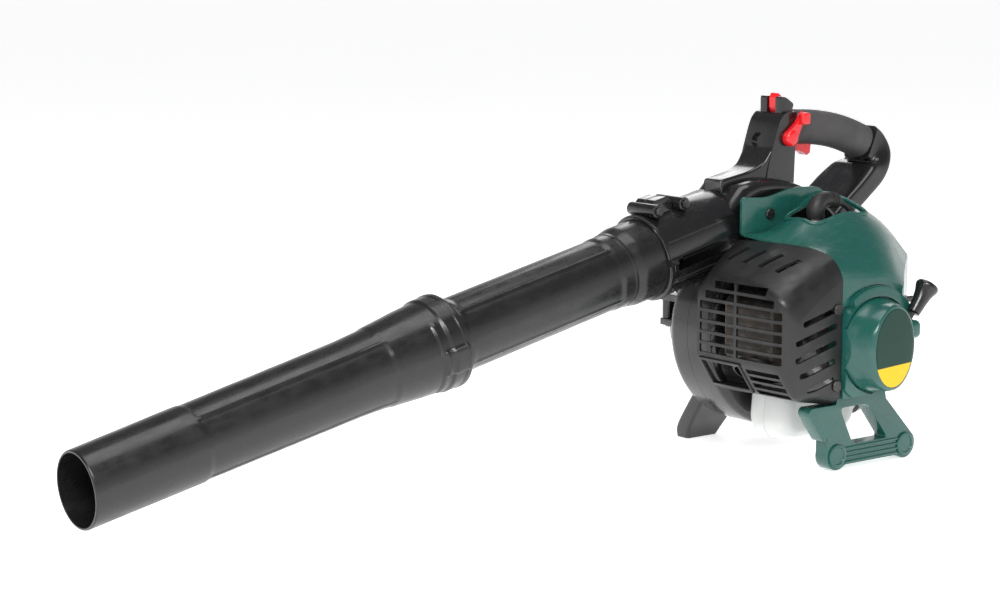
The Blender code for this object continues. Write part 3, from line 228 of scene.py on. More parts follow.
MATERIALS = {
    "black_plastic": moulded("black_moulding", (0.008, 0.008, 0.0085), (0.014, 0.014, 0.014), 0.22, 0.4),
    "tube_plastic": moulded("tube_moulding", (0.011, 0.011, 0.0115), (0.018, 0.018, 0.018), 0.3, 0.15),
    "green_plastic": moulded("green_moulding", (0.008, 0.088, 0.07), (0.014, 0.11, 0.088), 0.26, 0.4),
    "red_plastic": moulded("red_moulding", (0.82, 0.012, 0.02), (0.7, 0.012, 0.018), 0.28, 0.4),
    "ceramic": moulded("glazed_ceramic", (0.85, 0.84, 0.8), (0.78, 0.76, 0.7), 0.16, 0.3),
    "guard_plastic": leathered(
        "guard_moulding", (0.012, 0.012, 0.0125), (0.021, 0.021, 0.021), 0.36, 1500.0, 0.00006),
    "grip_rubber": leathered(
        "grip_moulding", (0.062, 0.059, 0.06), (0.085, 0.082, 0.083), 0.72, 1100.0, 0.00016),
    "lead_rubber": leathered(
        "lead_rubber_surface", (0.013, 0.013, 0.0135), (0.025, 0.025, 0.025), 0.5, 2200.0, 0.00003),
    "filter_foam": leathered(
        "filter_foam_surface", (0.045, 0.045, 0.05), (0.07, 0.07, 0.075), 0.95, 420.0, 0.0008),
    "cast_alloy": metal("cast_alloy_surface", (0.5, 0.5, 0.51), (0.3, 0.29, 0.28), 0.5, 0.0002),
    "dark_steel": metal("heat_stained_steel", (0.06, 0.058, 0.056), (0.11, 0.09, 0.075), 0.45, 0.00012),
    "steel": metal("screw_steel", (0.45, 0.45, 0.46), (0.26, 0.25, 0.24), 0.32, 0.00005, 8.0),
    "black_screw": metal("black_oxide_screw", (0.05, 0.05, 0.052), (0.11, 0.105, 0.1), 0.38, 0.00005, 6.0),
    "tank_plastic": tank_material(),
    "rope": braid_material(),
    "label_film": label_material(),
}


# ---- mesh helpers

def point(x, y, z):
    return ORIGIN + Vector((x, y, z)) * MM


def along_tube(distance, up, side=0.0):
    """A point by its distance from the spout's rim, its height over the axis and its side offset."""
    return RIM + FORWARD * distance + UPWARD * up + Vector((0.0, side, 0.0))


def finished(name, mesh_data):
    """Turn a bmesh in machine millimetres into an object in the row frame."""
    to_frame = Matrix.Translation(ORIGIN) @ Matrix.Scale(MM, 4)
    bmesh.ops.transform(mesh_data, matrix=to_frame, verts=mesh_data.verts)
    bmesh.ops.recalc_face_normals(mesh_data, faces=mesh_data.faces)
    mesh = bpy.data.meshes.new(name)
    mesh_data.to_mesh(mesh)
    mesh_data.free()
    return soften(linked(name, mesh))


def linked(name, data):
    made = bpy.data.objects.new(name, data)
    bpy.context.scene.collection.objects.link(made)
    return made


def soften(made):
    """Smooth shading, with edges kept sharp where faces meet at more than SHARP_ANGLE."""
    made.data.shade_smooth()
    made.data.set_sharp_from_angle(angle=SHARP_ANGLE)
    return made


def shown_mesh(made):
    """The object's mesh with its modifiers applied."""
    bpy.context.view_layer.update()
    return bpy.data.meshes.new_from_object(made.evaluated_get(bpy.context.evaluated_depsgraph_get()))


def baked(made):
    result = shown_mesh(made)
    result.name = made.name
    made.modifiers.clear()
    made.data = result
    return soften(made)


def bevelled(made, width, segments=3, angle=30.0):
    modifier = made.modifiers.new("Bevel", "BEVEL")
    modifier.width = width * MM
    modifier.segments = segments
    modifier.limit_method = "ANGLE"
    modifier.angle_limit = radians(angle)
    return baked(made)


def combined(made, others, operation):
    for other in others:
        modifier = made.modifiers.new("Boolean", "BOOLEAN")
        modifier.object = other
        modifier.operation = operation
        modifier.solver = "EXACT"
    baked(made)
    for other in others:
        bpy.data.objects.remove(other)
    return made


def cut(made, *others):
    return combined(made, others, "DIFFERENCE")


def join(made, *others):
    return combined(made, others, "UNION")


def merged(made, *others):
    """Put the meshes of several objects into one, without a Boolean."""
    mesh_data = bmesh.new()
    for item in (made, *others):
        mesh_data.from_mesh(item.data)
    mesh_data.to_mesh(made.data)
    mesh_data.free()
    for other in others:
        bpy.data.objects.remove(other)
    return soften(made)


def box(name, low, high, round_edges=0.0, segments=3):
    low, high = Vector(low), Vector(high)
    mesh_data = bmesh.new()
    size = Matrix.Diagonal((*(high - low), 1.0))
    bmesh.ops.create_cube(mesh_data, size=1.0, matrix=Matrix.Translation((low + high) / 2) @ size)
    made = finished(name, mesh_data)
    return bevelled(made, round_edges, segments) if round_edges else made


def moved(made, place, turn):
    """Turn a piece about the script's origin and then put that origin at place."""
    made.data.transform(Matrix.Translation(point(*place)) @ turn @ Matrix.Translation(-ORIGIN))
    return made


def rod(name, start, end, radius, segments=48, round_edges=0.0):
    start, end = Vector(start), Vector(end)
    axis = end - start
    turn = Vector((0, 0, 1)).rotation_difference(axis).to_matrix().to_4x4()
    mesh_data = bmesh.new()
    bmesh.ops.create_cone(
        mesh_data, cap_ends=True, segments=segments, radius1=radius, radius2=radius, depth=axis.length,
        matrix=Matrix.Translation((start + end) / 2) @ turn)
    made = finished(name, mesh_data)
    return bevelled(made, round_edges, 3, 50.0) if round_edges else made


def cross_rod(name, x, z, y_start, y_end, radius, segments=48):
    """A rod across the machine, parallel to the crankshaft."""
    return rod(name, (x, y_start, z), (x, y_end, z), radius, segments)


def loft(name, rings, closed=False):
    """A skin over rings of equal point counts; closed joins the last ring to the first."""
    mesh_data = bmesh.new()
    loops = [[mesh_data.verts.new(Vector(p)) for p in ring] for ring in rings]
    count = len(loops[0])
    pairs = list(zip(loops, loops[1:]))
    if closed:
        pairs.append((loops[-1], loops[0]))
    for loop, after in pairs:
        for i in range(count):
            j = (i + 1) % count
            mesh_data.faces.new((loop[i], loop[j], after[j], after[i]))
    if not closed:
        mesh_data.faces.new(loops[0])
        mesh_data.faces.new(loops[-1])
    return finished(name, mesh_data)


def turned(name, profile, base, axis, steps, closed=False):
    """Turn (radius, height) points about axis through base; a closed profile makes a ring."""
    base, axis = Vector(base), Vector(axis).normalized()
    side = axis.orthogonal().normalized()
    across = axis.cross(side)
    rings = []
    for radius, height in profile:
        ring = []
        for i in range(steps):
            turn = 2 * pi * i / steps
            spoke = side * cos(turn) + across * sin(turn)
            ring.append(base + axis * height + spoke * max(radius, 0.01))
        rings.append(ring)
    return loft(name, rings, closed)


def plate(name, outlines, y_low, y_high, round_edges=0.0, segments=3):
    """A flat piece between two Y planes; outlines are (x, z) loops, the first one the outside."""
    curve = bpy.data.curves.new(name, "CURVE")
    curve.dimensions = "2D"
    curve.fill_mode = "BOTH"
    curve.extrude = (y_high - y_low) / 2
    for outline in outlines:
        spline = curve.splines.new("POLY")
        spline.points.add(len(outline) - 1)
        for corner, (x, z) in zip(spline.points, outline):
            corner.co = (x, z, 0.0, 1.0)
        spline.use_cyclic_u = True
    flat = linked(name + "_curve", curve)
    mesh = shown_mesh(flat)
    bpy.data.objects.remove(flat)
    mesh_data = bmesh.new()
    mesh_data.from_mesh(mesh)
    bpy.data.meshes.remove(mesh)
    bmesh.ops.remove_doubles(mesh_data, verts=mesh_data.verts, dist=0.001)
    upright = Matrix(((1, 0, 0, 0), (0, 0, -1, (y_low + y_high) / 2), (0, 1, 0, 0), (0, 0, 0, 1)))
    bmesh.ops.transform(mesh_data, matrix=upright, verts=mesh_data.verts)
    made = finished(name, mesh_data)
    return bevelled(made, round_edges, segments) if round_edges else made


def spun(values, steps):
    """Catmull-Rom values between the given ones; values are tuples of numbers."""
    out = []
    for i in range(len(values) - 1):
        before = values[max(i - 1, 0)]
        after = values[min(i + 2, len(values) - 1)]
        for step in range(steps):
            t = step / steps
            row = []
            for a, b, c, d in zip(before, values[i], values[i + 1], after):
                row.append(0.5 * (2 * b + (c - a) * t + (2 * a - 5 * b + 4 * c - d) * t ** 2
                                  + (3 * b - a - 3 * c + d) * t ** 3))
            out.append(tuple(row))
    out.append(tuple(values[-1]))
    return out


def hose(name, corners, radius, steps, sides, closed=False):
    """A round wire whose route runs smoothly through the corners."""
    route = [Vector(p) for p in (spun(corners, steps) if len(corners) > 2 else corners)]
    rings = []
    normal = None
    for i, centre in enumerate(route):
        along = (route[min(i + 1, len(route) - 1)] - route[max(i - 1, 0)]).normalized()
        normal = along.orthogonal() if normal is None else normal - along * normal.dot(along)
        normal.normalize()
        across = along.cross(normal)
        turns = [2 * pi * k / sides for k in range(sides)]
        spokes = [normal * cos(turn) + across * sin(turn) for turn in turns]
        rings.append([centre + spoke * radius for spoke in spokes])
    return loft(name, rings, closed)


def arc(centre_x, centre_z, radius, start, end, steps):
    return [
        (centre_x + radius * cos(radians(start + (end - start) * i / steps)),
         centre_z + radius * sin(radians(start + (end - start) * i / steps)))
        for i in range(steps + 1)
    ]


def section(centre, direction, half_height, half_width, count, power):
    """A superellipse across direction (an XZ angle in degrees), centred in the Y = 0 plane."""
    angle = radians(direction)
    across = Vector((-sin(angle), 0.0, cos(angle)))
    middle = Vector((centre[0], 0.0, centre[1]))
    ring = []
    for i in range(count):
        turn = 2 * pi * i / count
        rise = copysign(abs(sin(turn)) ** (2 / power), sin(turn))
        side = copysign(abs(cos(turn)) ** (2 / power), cos(turn))
        ring.append(middle + across * half_height * rise + Vector((0.0, half_width * side, 0.0)))
    return ring


def dress(made, finish, node, body="chassis"):
    """Give a piece its material and its body, and hide the CAD node that it stands for."""
    made.data.materials.clear()
    made.data.materials.append(MATERIALS[finish])
    if body:
        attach(made, body)
    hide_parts(node)
    return made


# ---- blower tubes

def ramp(value, low, high):
    """A smooth step from 0 at low to 1 at high."""
    t = min(1, max(0, (value - low) / (high - low)))
    return t * t * (3 - 2 * t)


def bump_between(value, low, high, edge):
    return ramp(value, low, low + edge) * (1 - ramp(value, high - edge, high))


def degrees_apart(a, b):
    return abs((a - b + 180) % 360 - 180)


def profile_radius(profile, distance):
    """Radius at a distance along straight pieces between (distance, radius) points."""
    for (start, low), (end, high) in zip(profile, profile[1:]):
        if distance <= end:
            return low + (high - low) * max(0, distance - start) / (end - start)
    return profile[-1][1]


def relief_tube(name, outer, inner, stations, mouth=None):
    """A tube whose radii depend on distance and turn (degrees from its top, towards -Y).

    mouth is the normal of the plane in which the tube ends, if that isn't square to the tube.
    """
    rings = []
    for distance, radius_of in [(d, outer) for d in stations] + [(d, inner) for d in reversed(stations)]:
        ring = []
        for turn in range(0, 360, 2):
            radius = radius_of(distance, turn)
            spoke = UPWARD * cos(radians(turn)) + TOWARDS_NEAR * sin(radians(turn))
            shift = 0
            if mouth:
                share = ramp(distance, MOUTH_START, NOZZLE_END)
                shift = -(spoke * radius).dot(mouth) / FORWARD.dot(mouth) * share
            ring.append(RIM + FORWARD * (distance + shift) + spoke * radius)
        rings.append(ring)
    return loft(name, rings, closed=True)


def spaced(*spans):
    """Distances through (start, end, step) spans, each ending where the next one starts."""
    out = []
    for start, end, step in spans:
        count = max(1, round((end - start) / step))
        out += [start + (end - start) * i / count for i in range(count)]
    return out + [spans[-1][1]]


NOZZLE_OUTSIDE = ((COLLAR_START, 44), (262, 44), (265, 42.2), (284, 41), (316, 38.2),
                  (350, 36.4), (NOZZLE_END, 33.8))
NOZZLE_INSIDE = ((COLLAR_START, 39.2), (264, 39), (284, 35.6), (350, 33.8), (NOZZLE_END, 31.6))
NOZZLE_EDGES = (40, 140, 220, 320)
UPPER_EDGES = (38, 128, 218, 308)
LUG_TURNS = (100, 280)
LUG_HALF_WIDTH = 17
MOUTH_PITCH = radians(5)


def flute(distance, turn, start, end, edges, depth):
    """Depth of the long shallow panels pressed into a tube between raised edge lines."""
    nearest = min(degrees_apart(turn, edge) for edge in edges)
    return depth * bump_between(distance, start, end, 7) * ramp(nearest, 0.9, 3.2)


def nozzle_outside(distance, turn):
    """The collar's lip, its two lugs with a band beyond the near one, the flutes and the rounded mouth."""
    radius = profile_radius(NOZZLE_OUTSIDE, distance)
    radius -= flute(distance, turn, 318, MOUTH_START, NOZZLE_EDGES, 0.9)
    radius += 0.7 * bump_between(distance, COLLAR_START - 1, 250.5, 1.6)
    strap = bump_between(distance, 246, 274, 3)
    for centre in LUG_TURNS:
        flank = ramp(degrees_apart(turn, centre), LUG_HALF_WIDTH - 4, LUG_HALF_WIDTH)
        radius += 3 * strap * (1 - flank)
    around = 1 - ramp(degrees_apart(turn, LUG_TURNS[0]), 50, 58)
    radius += 1.1 * bump_between(distance, 268, 276, 2.5) * around
    return radius - 0.9 * ramp(distance, NOZZLE_END - 1.2, NOZZLE_END)


def nozzle_inside(distance, turn):
    return profile_radius(NOZZLE_INSIDE, distance)


def upper_outside(distance, turn):
    radius = 36 if distance > 40 else 39 - 3 * ramp(distance, 24, 40)
    return radius - flute(distance, turn, 50, 236, UPPER_EDGES, 1)


def upper_inside(distance, turn):
    return 33.6 if distance > 38 else 36.6


def make_tubes():
    stations = spaced((COLLAR_START, 284, 0.8), (284, 316, 4), (316, 328, 1),
                      (328, 508, 12), (508, 522, 1), (522, NOZZLE_END - 3, 8),
                      (NOZZLE_END - 3, NOZZLE_END, 0.75))
    mouth = Vector((-cos(MOUTH_PITCH), 0, -sin(MOUTH_PITCH)))
    nozzle = relief_tube("nozzle_tube_fluted", nozzle_outside, nozzle_inside, stations, mouth)
    dress(nozzle, "tube_plastic", "nozzle_tube", "nozzle")
    stations = spaced((-24, 24, 8), (24, 48, 2), (48, 60, 1), (60, 226, 11),
                      (226, 240, 1), (240, 262, 5.5))
    upper = relief_tube("upper_tube_fluted", upper_outside, upper_inside, stations)
    dress(upper, "tube_plastic", "upper_tube", "upper_tube")


# ---- fan housing

def scroll_outline(offset):
    """The scroll's growing spiral and the corners that close it inside the spout, as (x, z)."""
    first, last, steps = 160, 450 + degrees(TUBE_PITCH), 110
    outline = []
    for i in range(steps + 1):
        angle = first + (last - first) * i / steps
        grown = max(0, (angle - 180) / (last - 180))
        radius = 94 + 58 * grown ** 2 + offset
        turn = radians(angle)
        outline.append((CRANK_X + radius * cos(turn), CRANK_Z + radius * sin(turn)))
    for distance, up in ((-112, SPOUT_RADIUS - 1 + offset), (-86, 22), (-80, 5 - SPOUT_RADIUS)):
        corner = along_tube(distance + offset, up)
        outline.append((corner.x, corner.z))
    return outline


def scroll_solid(name, offset):
    """The scroll with its rounded edges; offset is its growth on all sides."""
    near_round, far_round = 10, 14
    quarter = [radians(90 * i / 8) for i in range(9)]
    stations = []
    for turn in quarter:
        inset = near_round * (1 - sin(turn))
        stations.append((HOUSING_NEAR - offset + near_round * (1 - cos(turn)), inset))
    for turn in quarter:
        inset = far_round * (1 - cos(turn))
        stations.append((HOUSING_FAR + offset - far_round * (1 - sin(turn)), inset))
    return loft(name, [[(x, y, z) for x, z in scroll_outline(offset - inset)] for y, inset in stations])


def spout_solid(name, offset, start=0):
    """The round spout, from start beyond its rim back into the scroll."""
    profile = [(0, start), (SPOUT_RADIUS - 0.8 + offset, start), (SPOUT_RADIUS + offset, start - 0.8),
               (SPOUT_RADIUS + offset, -92), (SPOUT_RADIUS - 12 + offset, -122), (0, -122)]
    return turned(name, profile, RIM, FORWARD, 144)


def tube_box(name, distances, ups, sides):
    """A block in the tube's own directions."""
    made = box(name, (distances[0], sides[0], ups[0]), (distances[1], sides[1], ups[1]))
    turn = Matrix((FORWARD, Vector((0, 1, 0)), UPWARD)).transposed().to_4x4()
    return moved(made, RIM, turn)


def clamp_block(tag, y_low, y_high):
    """The raised block on top of the spout that the front clamp screw goes through."""
    low, top = SPOUT_RADIUS - 5, SPOUT_RADIUS + 12
    outline = [(-14, low), (-14, top - 3), (-18, top), (-33, top), (-39, top - 6), (-39, low)]
    corners = [along_tube(s, up) for s, up in outline]
    return plate("clamp_block_" + tag, [[(c.x, c.z) for c in corners]], y_low, y_high, 1)


CLAMP_SCREWS = ((-12, SPOUT_RADIUS + 4), (-46, SPOUT_RADIUS + 1.5))


def clamp_rods(tag, y_low, y_high, radius, round_edges=0):
    rods = []
    for number, (distance, up) in enumerate(CLAMP_SCREWS):
        start, end = along_tube(distance, up, y_low), along_tube(distance, up, y_high)
        rods.append(rod(f"clamp_{tag}_{number}", start, end, radius, round_edges=round_edges))
    return rods


def spout_dressing(side):
    """Ribs along the spout's side and the rim's bead; side is -1 on the near half, 1 on the far one."""
    pieces = []
    for number, up in enumerate((-20, -30)):
        y = side * sqrt(SPOUT_RADIUS ** 2 - up ** 2)
        ends = [tuple(along_tube(distance, up, y)) for distance in (-92, -8)]
        pieces.append(rod(f"spout_rib_{side}_{number}", *ends, 1.8, 24, round_edges=0.9))
    bead = [(SPOUT_RADIUS + rise, distance)
            for rise, distance in ((-1, -1), (0.9, -1.6), (1.1, -3.2), (0.9, -4.8), (-1, -5.4))]
    pieces.append(turned(f"rim_bead_{side}", bead, RIM, FORWARD, 144, closed=True))
    return pieces


def housing_half(name, side):
    half = scroll_solid(name, 0)
    join(half, spout_solid(name + "_spout", 0), *spout_dressing(side))
    if side < 0:
        join(half, clamp_block(name, -13, 0), *clamp_rods("boss_near", -23, 2, 6.5, 0.8))
    else:
        join(half, clamp_block(name, 0, 13), *clamp_rods("boss_far", -2, 16, 6.5, 0.8))
        join(half, front_foot())
        for z_low in (120, 145):
            join(half, box(f"hinge_lug_{z_low:.0f}", (-75, 20, z_low), (-62, 48, z_low + 7), 0.8))
        join(half, cross_rod("latch_seat", LATCH_X, CRANK_Z, 20, 36, 9))
    cut(half, scroll_solid(name + "_hollow", -WALL), spout_solid(name + "_bore", -WALL, 1))
    other_half = (-GAP / 2, 80) if side < 0 else (-80, GAP / 2)
    cut(half, box(name + "_split", (-250, other_half[0], -20), (200, other_half[1], 400)))
    return cut(half, *clamp_rods("hole", -30, 18, 2.3))


def front_foot():
    """The foot that leans out from under the far half, with its flat sole on the ground."""
    rings = []
    for z, y_low, y_high, x_low, x_high in spun(
        [(50, 12, 31, -46, 14), (14, 38, 58, -42, 8), (0, 43, 61, -40, 0)], 8
    ):
        outline = rounded_rectangle(x_low, x_high, y_low, y_high, 4, 6)
        rings.append([(x, y, max(0, z)) for x, y in outline])
    return loft("front_foot", rings)


def rounded(outline, radii, steps):
    """Round the corners of a closed outline with short curves."""
    out = []
    count = len(outline)
    for i, (corner, radius) in enumerate(zip(outline, radii)):
        if not radius:
            out.append(tuple(corner))
            continue
        here = Vector(corner)
        before = Vector(outline[i - 1]) - here
        after = Vector(outline[(i + 1) % count]) - here
        start = here + before.normalized() * min(radius, before.length * 0.49)
        end = here + after.normalized() * min(radius, after.length * 0.49)
        for step in range(steps + 1):
            t = step / steps
            out.append(tuple(start * (1 - t) ** 2 + here * 2 * t * (1 - t) + end * t ** 2))
    return out


def rounded_rectangle(x_low, x_high, y_low, y_high, radius, steps):
    corners = [(x_low, y_low), (x_high, y_low), (x_high, y_high), (x_low, y_high)]
    return rounded(corners, [radius] * 4, steps)


def make_fan_housings():
    near = housing_half("fan_housing_near_moulded", -1)
    cut(near, cross_rod("shaft_hole", CRANK_X, CRANK_Z, -50, -20, 17))
    near_wall = (-SPOUT_RADIUS - 4, -SPOUT_RADIUS + 4.5)
    cut(near, tube_box("twist_slot", (-13, 2), (-3, 3), near_wall),
        tube_box("twist_slot_turn", (-13, -8), (-11, 2), near_wall))
    dress(near, "black_plastic", "fan_housing_near")
    far = housing_half("fan_housing_far_moulded", 1)
    cut(far, cross_rod("inlet_hole", CRANK_X, CRANK_Z, 24, 60, 56, 120))
    cut(far, rod("pin_hole", (-69, 43, 110), (-69, 43, 160), 2.8),
        cross_rod("latch_hole", LATCH_X, CRANK_Z, 26, 50, 3.3))
    dress(far, "black_plastic", "fan_housing_far")


# ---- engine covers

def boundary_x(y):
    """X of the line between the guard and the shroud, which leans forward away from the housing."""
    return -56 - 0.212 * (y + 42)


# y, then X of the front face and Z of its top, of the slope's middle and of the seam to the shroud
GUARD_STATIONS = (
    (-37.5, -103, 167, 192, 211),
    (-56, -103, 186, 203, 213.5),
    (-100, -103, 183, 202, 213),
    (-131, -102.5, 177, 197, 210.5),
    (-147, -101, 170, 190, 205),
    (-155, -96, 161, 180, 196),
    (-160, -88, 150, 168, 185),
)
GUARD_LOW = 64


def guard_rings(offset, rear=None):
    """Rings of the guard, shrunk by offset; with rear, they run back to that X to hollow the guard out."""
    rings = []
    for y, front, top, middle, seam in spun(GUARD_STATIONS, 6):
        front += offset
        low = GUARD_LOW + offset + max(0, -147 - y) * 0.6
        edge = boundary_x(y)
        slope_x = front + (edge - front) * 0.5
        corners = [(rear or edge, low), (front + 22, low + 8), (front, low + 40), (front, top - offset),
                   (slope_x, middle - offset), (edge, seam - offset)]
        radii = [0, 8, 6, 7, 14, 0]
        if rear:
            corners.append((rear, seam - offset))
            radii.append(0)
        depth = y + offset * ramp(-y, 125, 147)
        rings.append([(x, depth, z) for x, z in rounded(corners, radii, 5)])
    if offset:
        rings.insert(0, [(x, 0, z) for x, y, z in rings[0]])
    return rings


def grille_cutters():
    """The seven wide openings of the front, each split by an upright bar."""
    cutters = []
    for number in range(7):
        low = 108.5 + 10.6 * number
        high = low + 7.6
        y_far = -41 - max(0, high - 163) * 1.2
        y_near = -150 + max(0, high - 160)
        for y_a, y_b in ((y_far, -88.4), (-91.6, y_near)):
            cutters.append(box(f"grille_{number}_{y_a:.0f}", (-112, y_b, low), (-88, y_a, high), 0.9, 2))
    return cutters


PORT_YS = (-42, -93)
PORT_ZS = (76, 100)


def make_guard():
    guard = loft("muffler_guard_moulded", guard_rings(0))
    cut(guard, loft("guard_hollow", guard_rings(WALL, 60)))
    cutters = grille_cutters()
    port = box("exhaust_port", (-112, PORT_YS[1], PORT_ZS[0]), (-66, PORT_YS[0], PORT_ZS[1]), 1.5, 2)
    for number in range(4):
        low = 73 + 7.2 * number
        cutters.append(box(f"lower_louvre_{number}", (-112, -144, low), (-72, -101, low + 4.6), 0.8, 2))
    side_turn = Matrix.Rotation(radians(-14), 4, "Y")
    for number, length in enumerate((17, 23, 27, 27, 22)):
        slot = box(f"side_slot_{number}", (-length, -175, -2.8), (length, -150, 2.8), 2)
        cutters.append(moved(slot, (-45 - length * 0.7, 0, 87 + 16.2 * number), side_turn))
    top_turn = Matrix.Rotation(radians(-18), 4, "Z") @ Matrix.Rotation(radians(-38), 4, "Y")
    for number in range(4):
        slot = box(f"top_slot_{number}", (-13, -3, -30), (13, 3, 30), 2)
        cutters.append(moved(slot, (-75, -64 - 20 * number, 205), top_turn))
    for z in (84, 157):
        cutters.append(cross_rod(f"guard_screw_hole_{z:.0f}", -37, z, -150, -170, 3.4))
    cut(guard, port, spout_solid("spout_fit_guard", GAP, GAP), *cutters)
    join(guard, port_lip())
    dress(guard, "guard_plastic", "muffler_guard")


def guard_front(z):
    """X of the guard's front face at a height."""
    return -103 + max(0, (104 - z) / 32) * 22


def port_lip():
    """A raised frame around the exhaust port in the guard's sloping front."""
    far, near = PORT_YS
    low, high = PORT_ZS
    bars = []
    for i, (y_a, y_b, z_a, z_b) in enumerate((
        (near - 3, near, low - 3, high + 3),
        (far, far + 3, low - 3, high + 3),
        (near - 3, far + 3, high, high + 3),
        (near - 3, far + 3, low - 3, low),
    )):
        rings = []
        for y in (y_a, y_b):
            rings.append([(guard_front(z_a) - 1.6, y, z_a), (guard_front(z_b) - 1.6, y, z_b),
                          (guard_front(z_b) + 1.5, y, z_b), (guard_front(z_a) + 1.5, y, z_a)])
        bars.append(bevelled(loft(f"port_lip_{i}", rings), 0.8, 2))
    return join(bars[0], *bars[1:])


# y, Z of the front edge, then (x, z) points over the top to the rear edge
SHROUD_STATIONS = (
    (-46, 220, ((-24, 219), (12, 238), (50, 254), (98, 232), (128, 192))),
    (-80, 215, ((-24, 229), (14, 246), (50, 247), (95, 227), (127, 192))),
    (-104, 214, ((-22, 224), (14, 236), (46, 237), (84, 221), (117, 191))),
    (-125, 212, ((-16, 217), (10, 223), (38, 223), (67, 212), (93, 187))),
    (-145, 205.5, ((-14, 206), (8, 206), (30, 205), (51, 197), (69, 180))),
    (-156, 195, ((-14, 193), (8, 191), (26, 190), (43, 184), (57, 172))),
    (-160, 185, ((-14, 184), (8, 182.5), (24, 182), (38, 177), (50, 168))),
)
SHROUD_BOTTOM = 71
REAR_BOTTOM = 121


def shroud_rings(offset):
    """Rings of the shroud; an offset gives its hollow, open below and towards the fan housing."""
    flat = [(y, front_z, *[value for pair in over for value in pair]) for y, front_z, over in SHROUD_STATIONS]
    rings = []
    for y, front_z, *rest in spun(flat, 7):
        over = [(x, z - offset) for x, z in zip(rest[::2], rest[1::2])]
        front = boundary_x(y) + GAP
        low, rear_low = SHROUD_BOTTOM, REAR_BOTTOM
        if offset:
            front -= 1
            low = rear_low = 20
        rear_x = over[-1][0] - offset
        corner = (rear_x, over[-1][1])
        ridge = spun([(front, front_z - offset), *over[:-1], corner], 8)
        tail = rounded([ridge[-2], corner, (rear_x, rear_low + 20)], [0, 6, 0], 6)[1:8]
        foot_inset = 10 + 10 * min(1, max(0, (-y - 125) / 31))
        rear = [(rear_x, rear_low + 20), (rear_x - foot_inset, rear_low)]
        rings.append([(x, y + offset, z) for x, z in [(front, low), *ridge[:-1], *tail, *rear]])
    if offset:
        rings.insert(0, [(x, -30, z) for x, y, z in rings[0]])
    return rings


def starter_panel(grow):
    """Outline of the flat panel round the starter's boss, as (x, z)."""
    left = boundary_x(COVER_SIDE) + GAP - grow
    outline = [(left, SHROUD_BOTTOM - grow), (left, 157 + grow), (-21 - grow, 158.5 + grow)]
    outline += arc(CRANK_X, CRANK_Z, 57 + grow, 125, 36, 24)
    outline += arc(CRANK_X, CRANK_Z, BOSS_RADIUS + 1 + grow, 10, -88, 24)
    return outline


def plug_opening(grow, steps):
    """Outline of the opening over the spark plug, as (x, y)."""
    return rounded_rectangle(-12 - grow, 64 + grow, -102 - grow, -58 + grow, 14, steps)


def surface_tree(made):
    vertices = [vertex.co.copy() for vertex in made.data.vertices]
    return BVHTree.FromPolygons(vertices, [tuple(face.vertices) for face in made.data.polygons])


def make_shroud():
    shroud = loft("engine_shroud_moulded", shroud_rings(0))
    skin = surface_tree(shroud)
    cut(shroud, loft("shroud_hollow", shroud_rings(WALL)))
    tab = [(-57, 217), (-24, 215), (0, 228), (46, 246), (58, 250), (46, 258.5),
           (12, 260), (-24, 252), (-57, 254.5)]
    tab = rounded(tab, [3, 10, 10, 6, 2, 6, 12, 10, 5], 6)
    join(shroud, plate("tab_panel", [tab], -49, -46, 0.7, 2))
    cut(shroud, loft("plug_opening", [[(x, y, z) for x, y in plug_opening(0, 8)] for z in (215, 300)]))
    cut(shroud, plate("panel_clearance", [starter_panel(2 * GAP)], COVER_SIDE - 10, COVER_SIDE + 8))
    cut(shroud, box("side_lower", (-120, -171, 0), (160, -121.3, CRANK_Z + 1.3)))
    cut(shroud, box("filter_opening", (86, -104.6, 60), (150, -54, 186)))
    cut(shroud, box("choke_opening", (86, -114, 60), (150, -90, 168)))
    cut(shroud, cross_rod("shroud_screw_hole", -20, 236, -60, -30, 3.4))
    route = []
    for x, y in plug_opening(1.5, 14):
        hit = skin.ray_cast(point(x, y, 330), Vector((0, 0, -1)))[0]
        if hit:
            route.append(tuple((hit - ORIGIN) / MM + Vector((0, 0, 0.2))))
    merged(shroud, hose("plug_opening_lip", route, 2, 1, 20, closed=True))
    dress(shroud, "green_plastic", "engine_shroud")


def oval(y, half_width, half_height, yaw=0):
    """An upright oval round the crankshaft's axis, turned by yaw degrees about the vertical."""
    slope = tan(radians(yaw))
    ring = []
    for i in range(120):
        turn = 2 * pi * i / 120
        x = half_width * cos(turn)
        ring.append((CRANK_X + x, y + x * slope, CRANK_Z + half_height * sin(turn)))
    return ring


def rope_point(distance):
    """A point on the starter rope's straight line out of its guide."""
    return Vector((33, -170, 118)) + Vector((0.62, 0, 0.785)).normalized() * distance


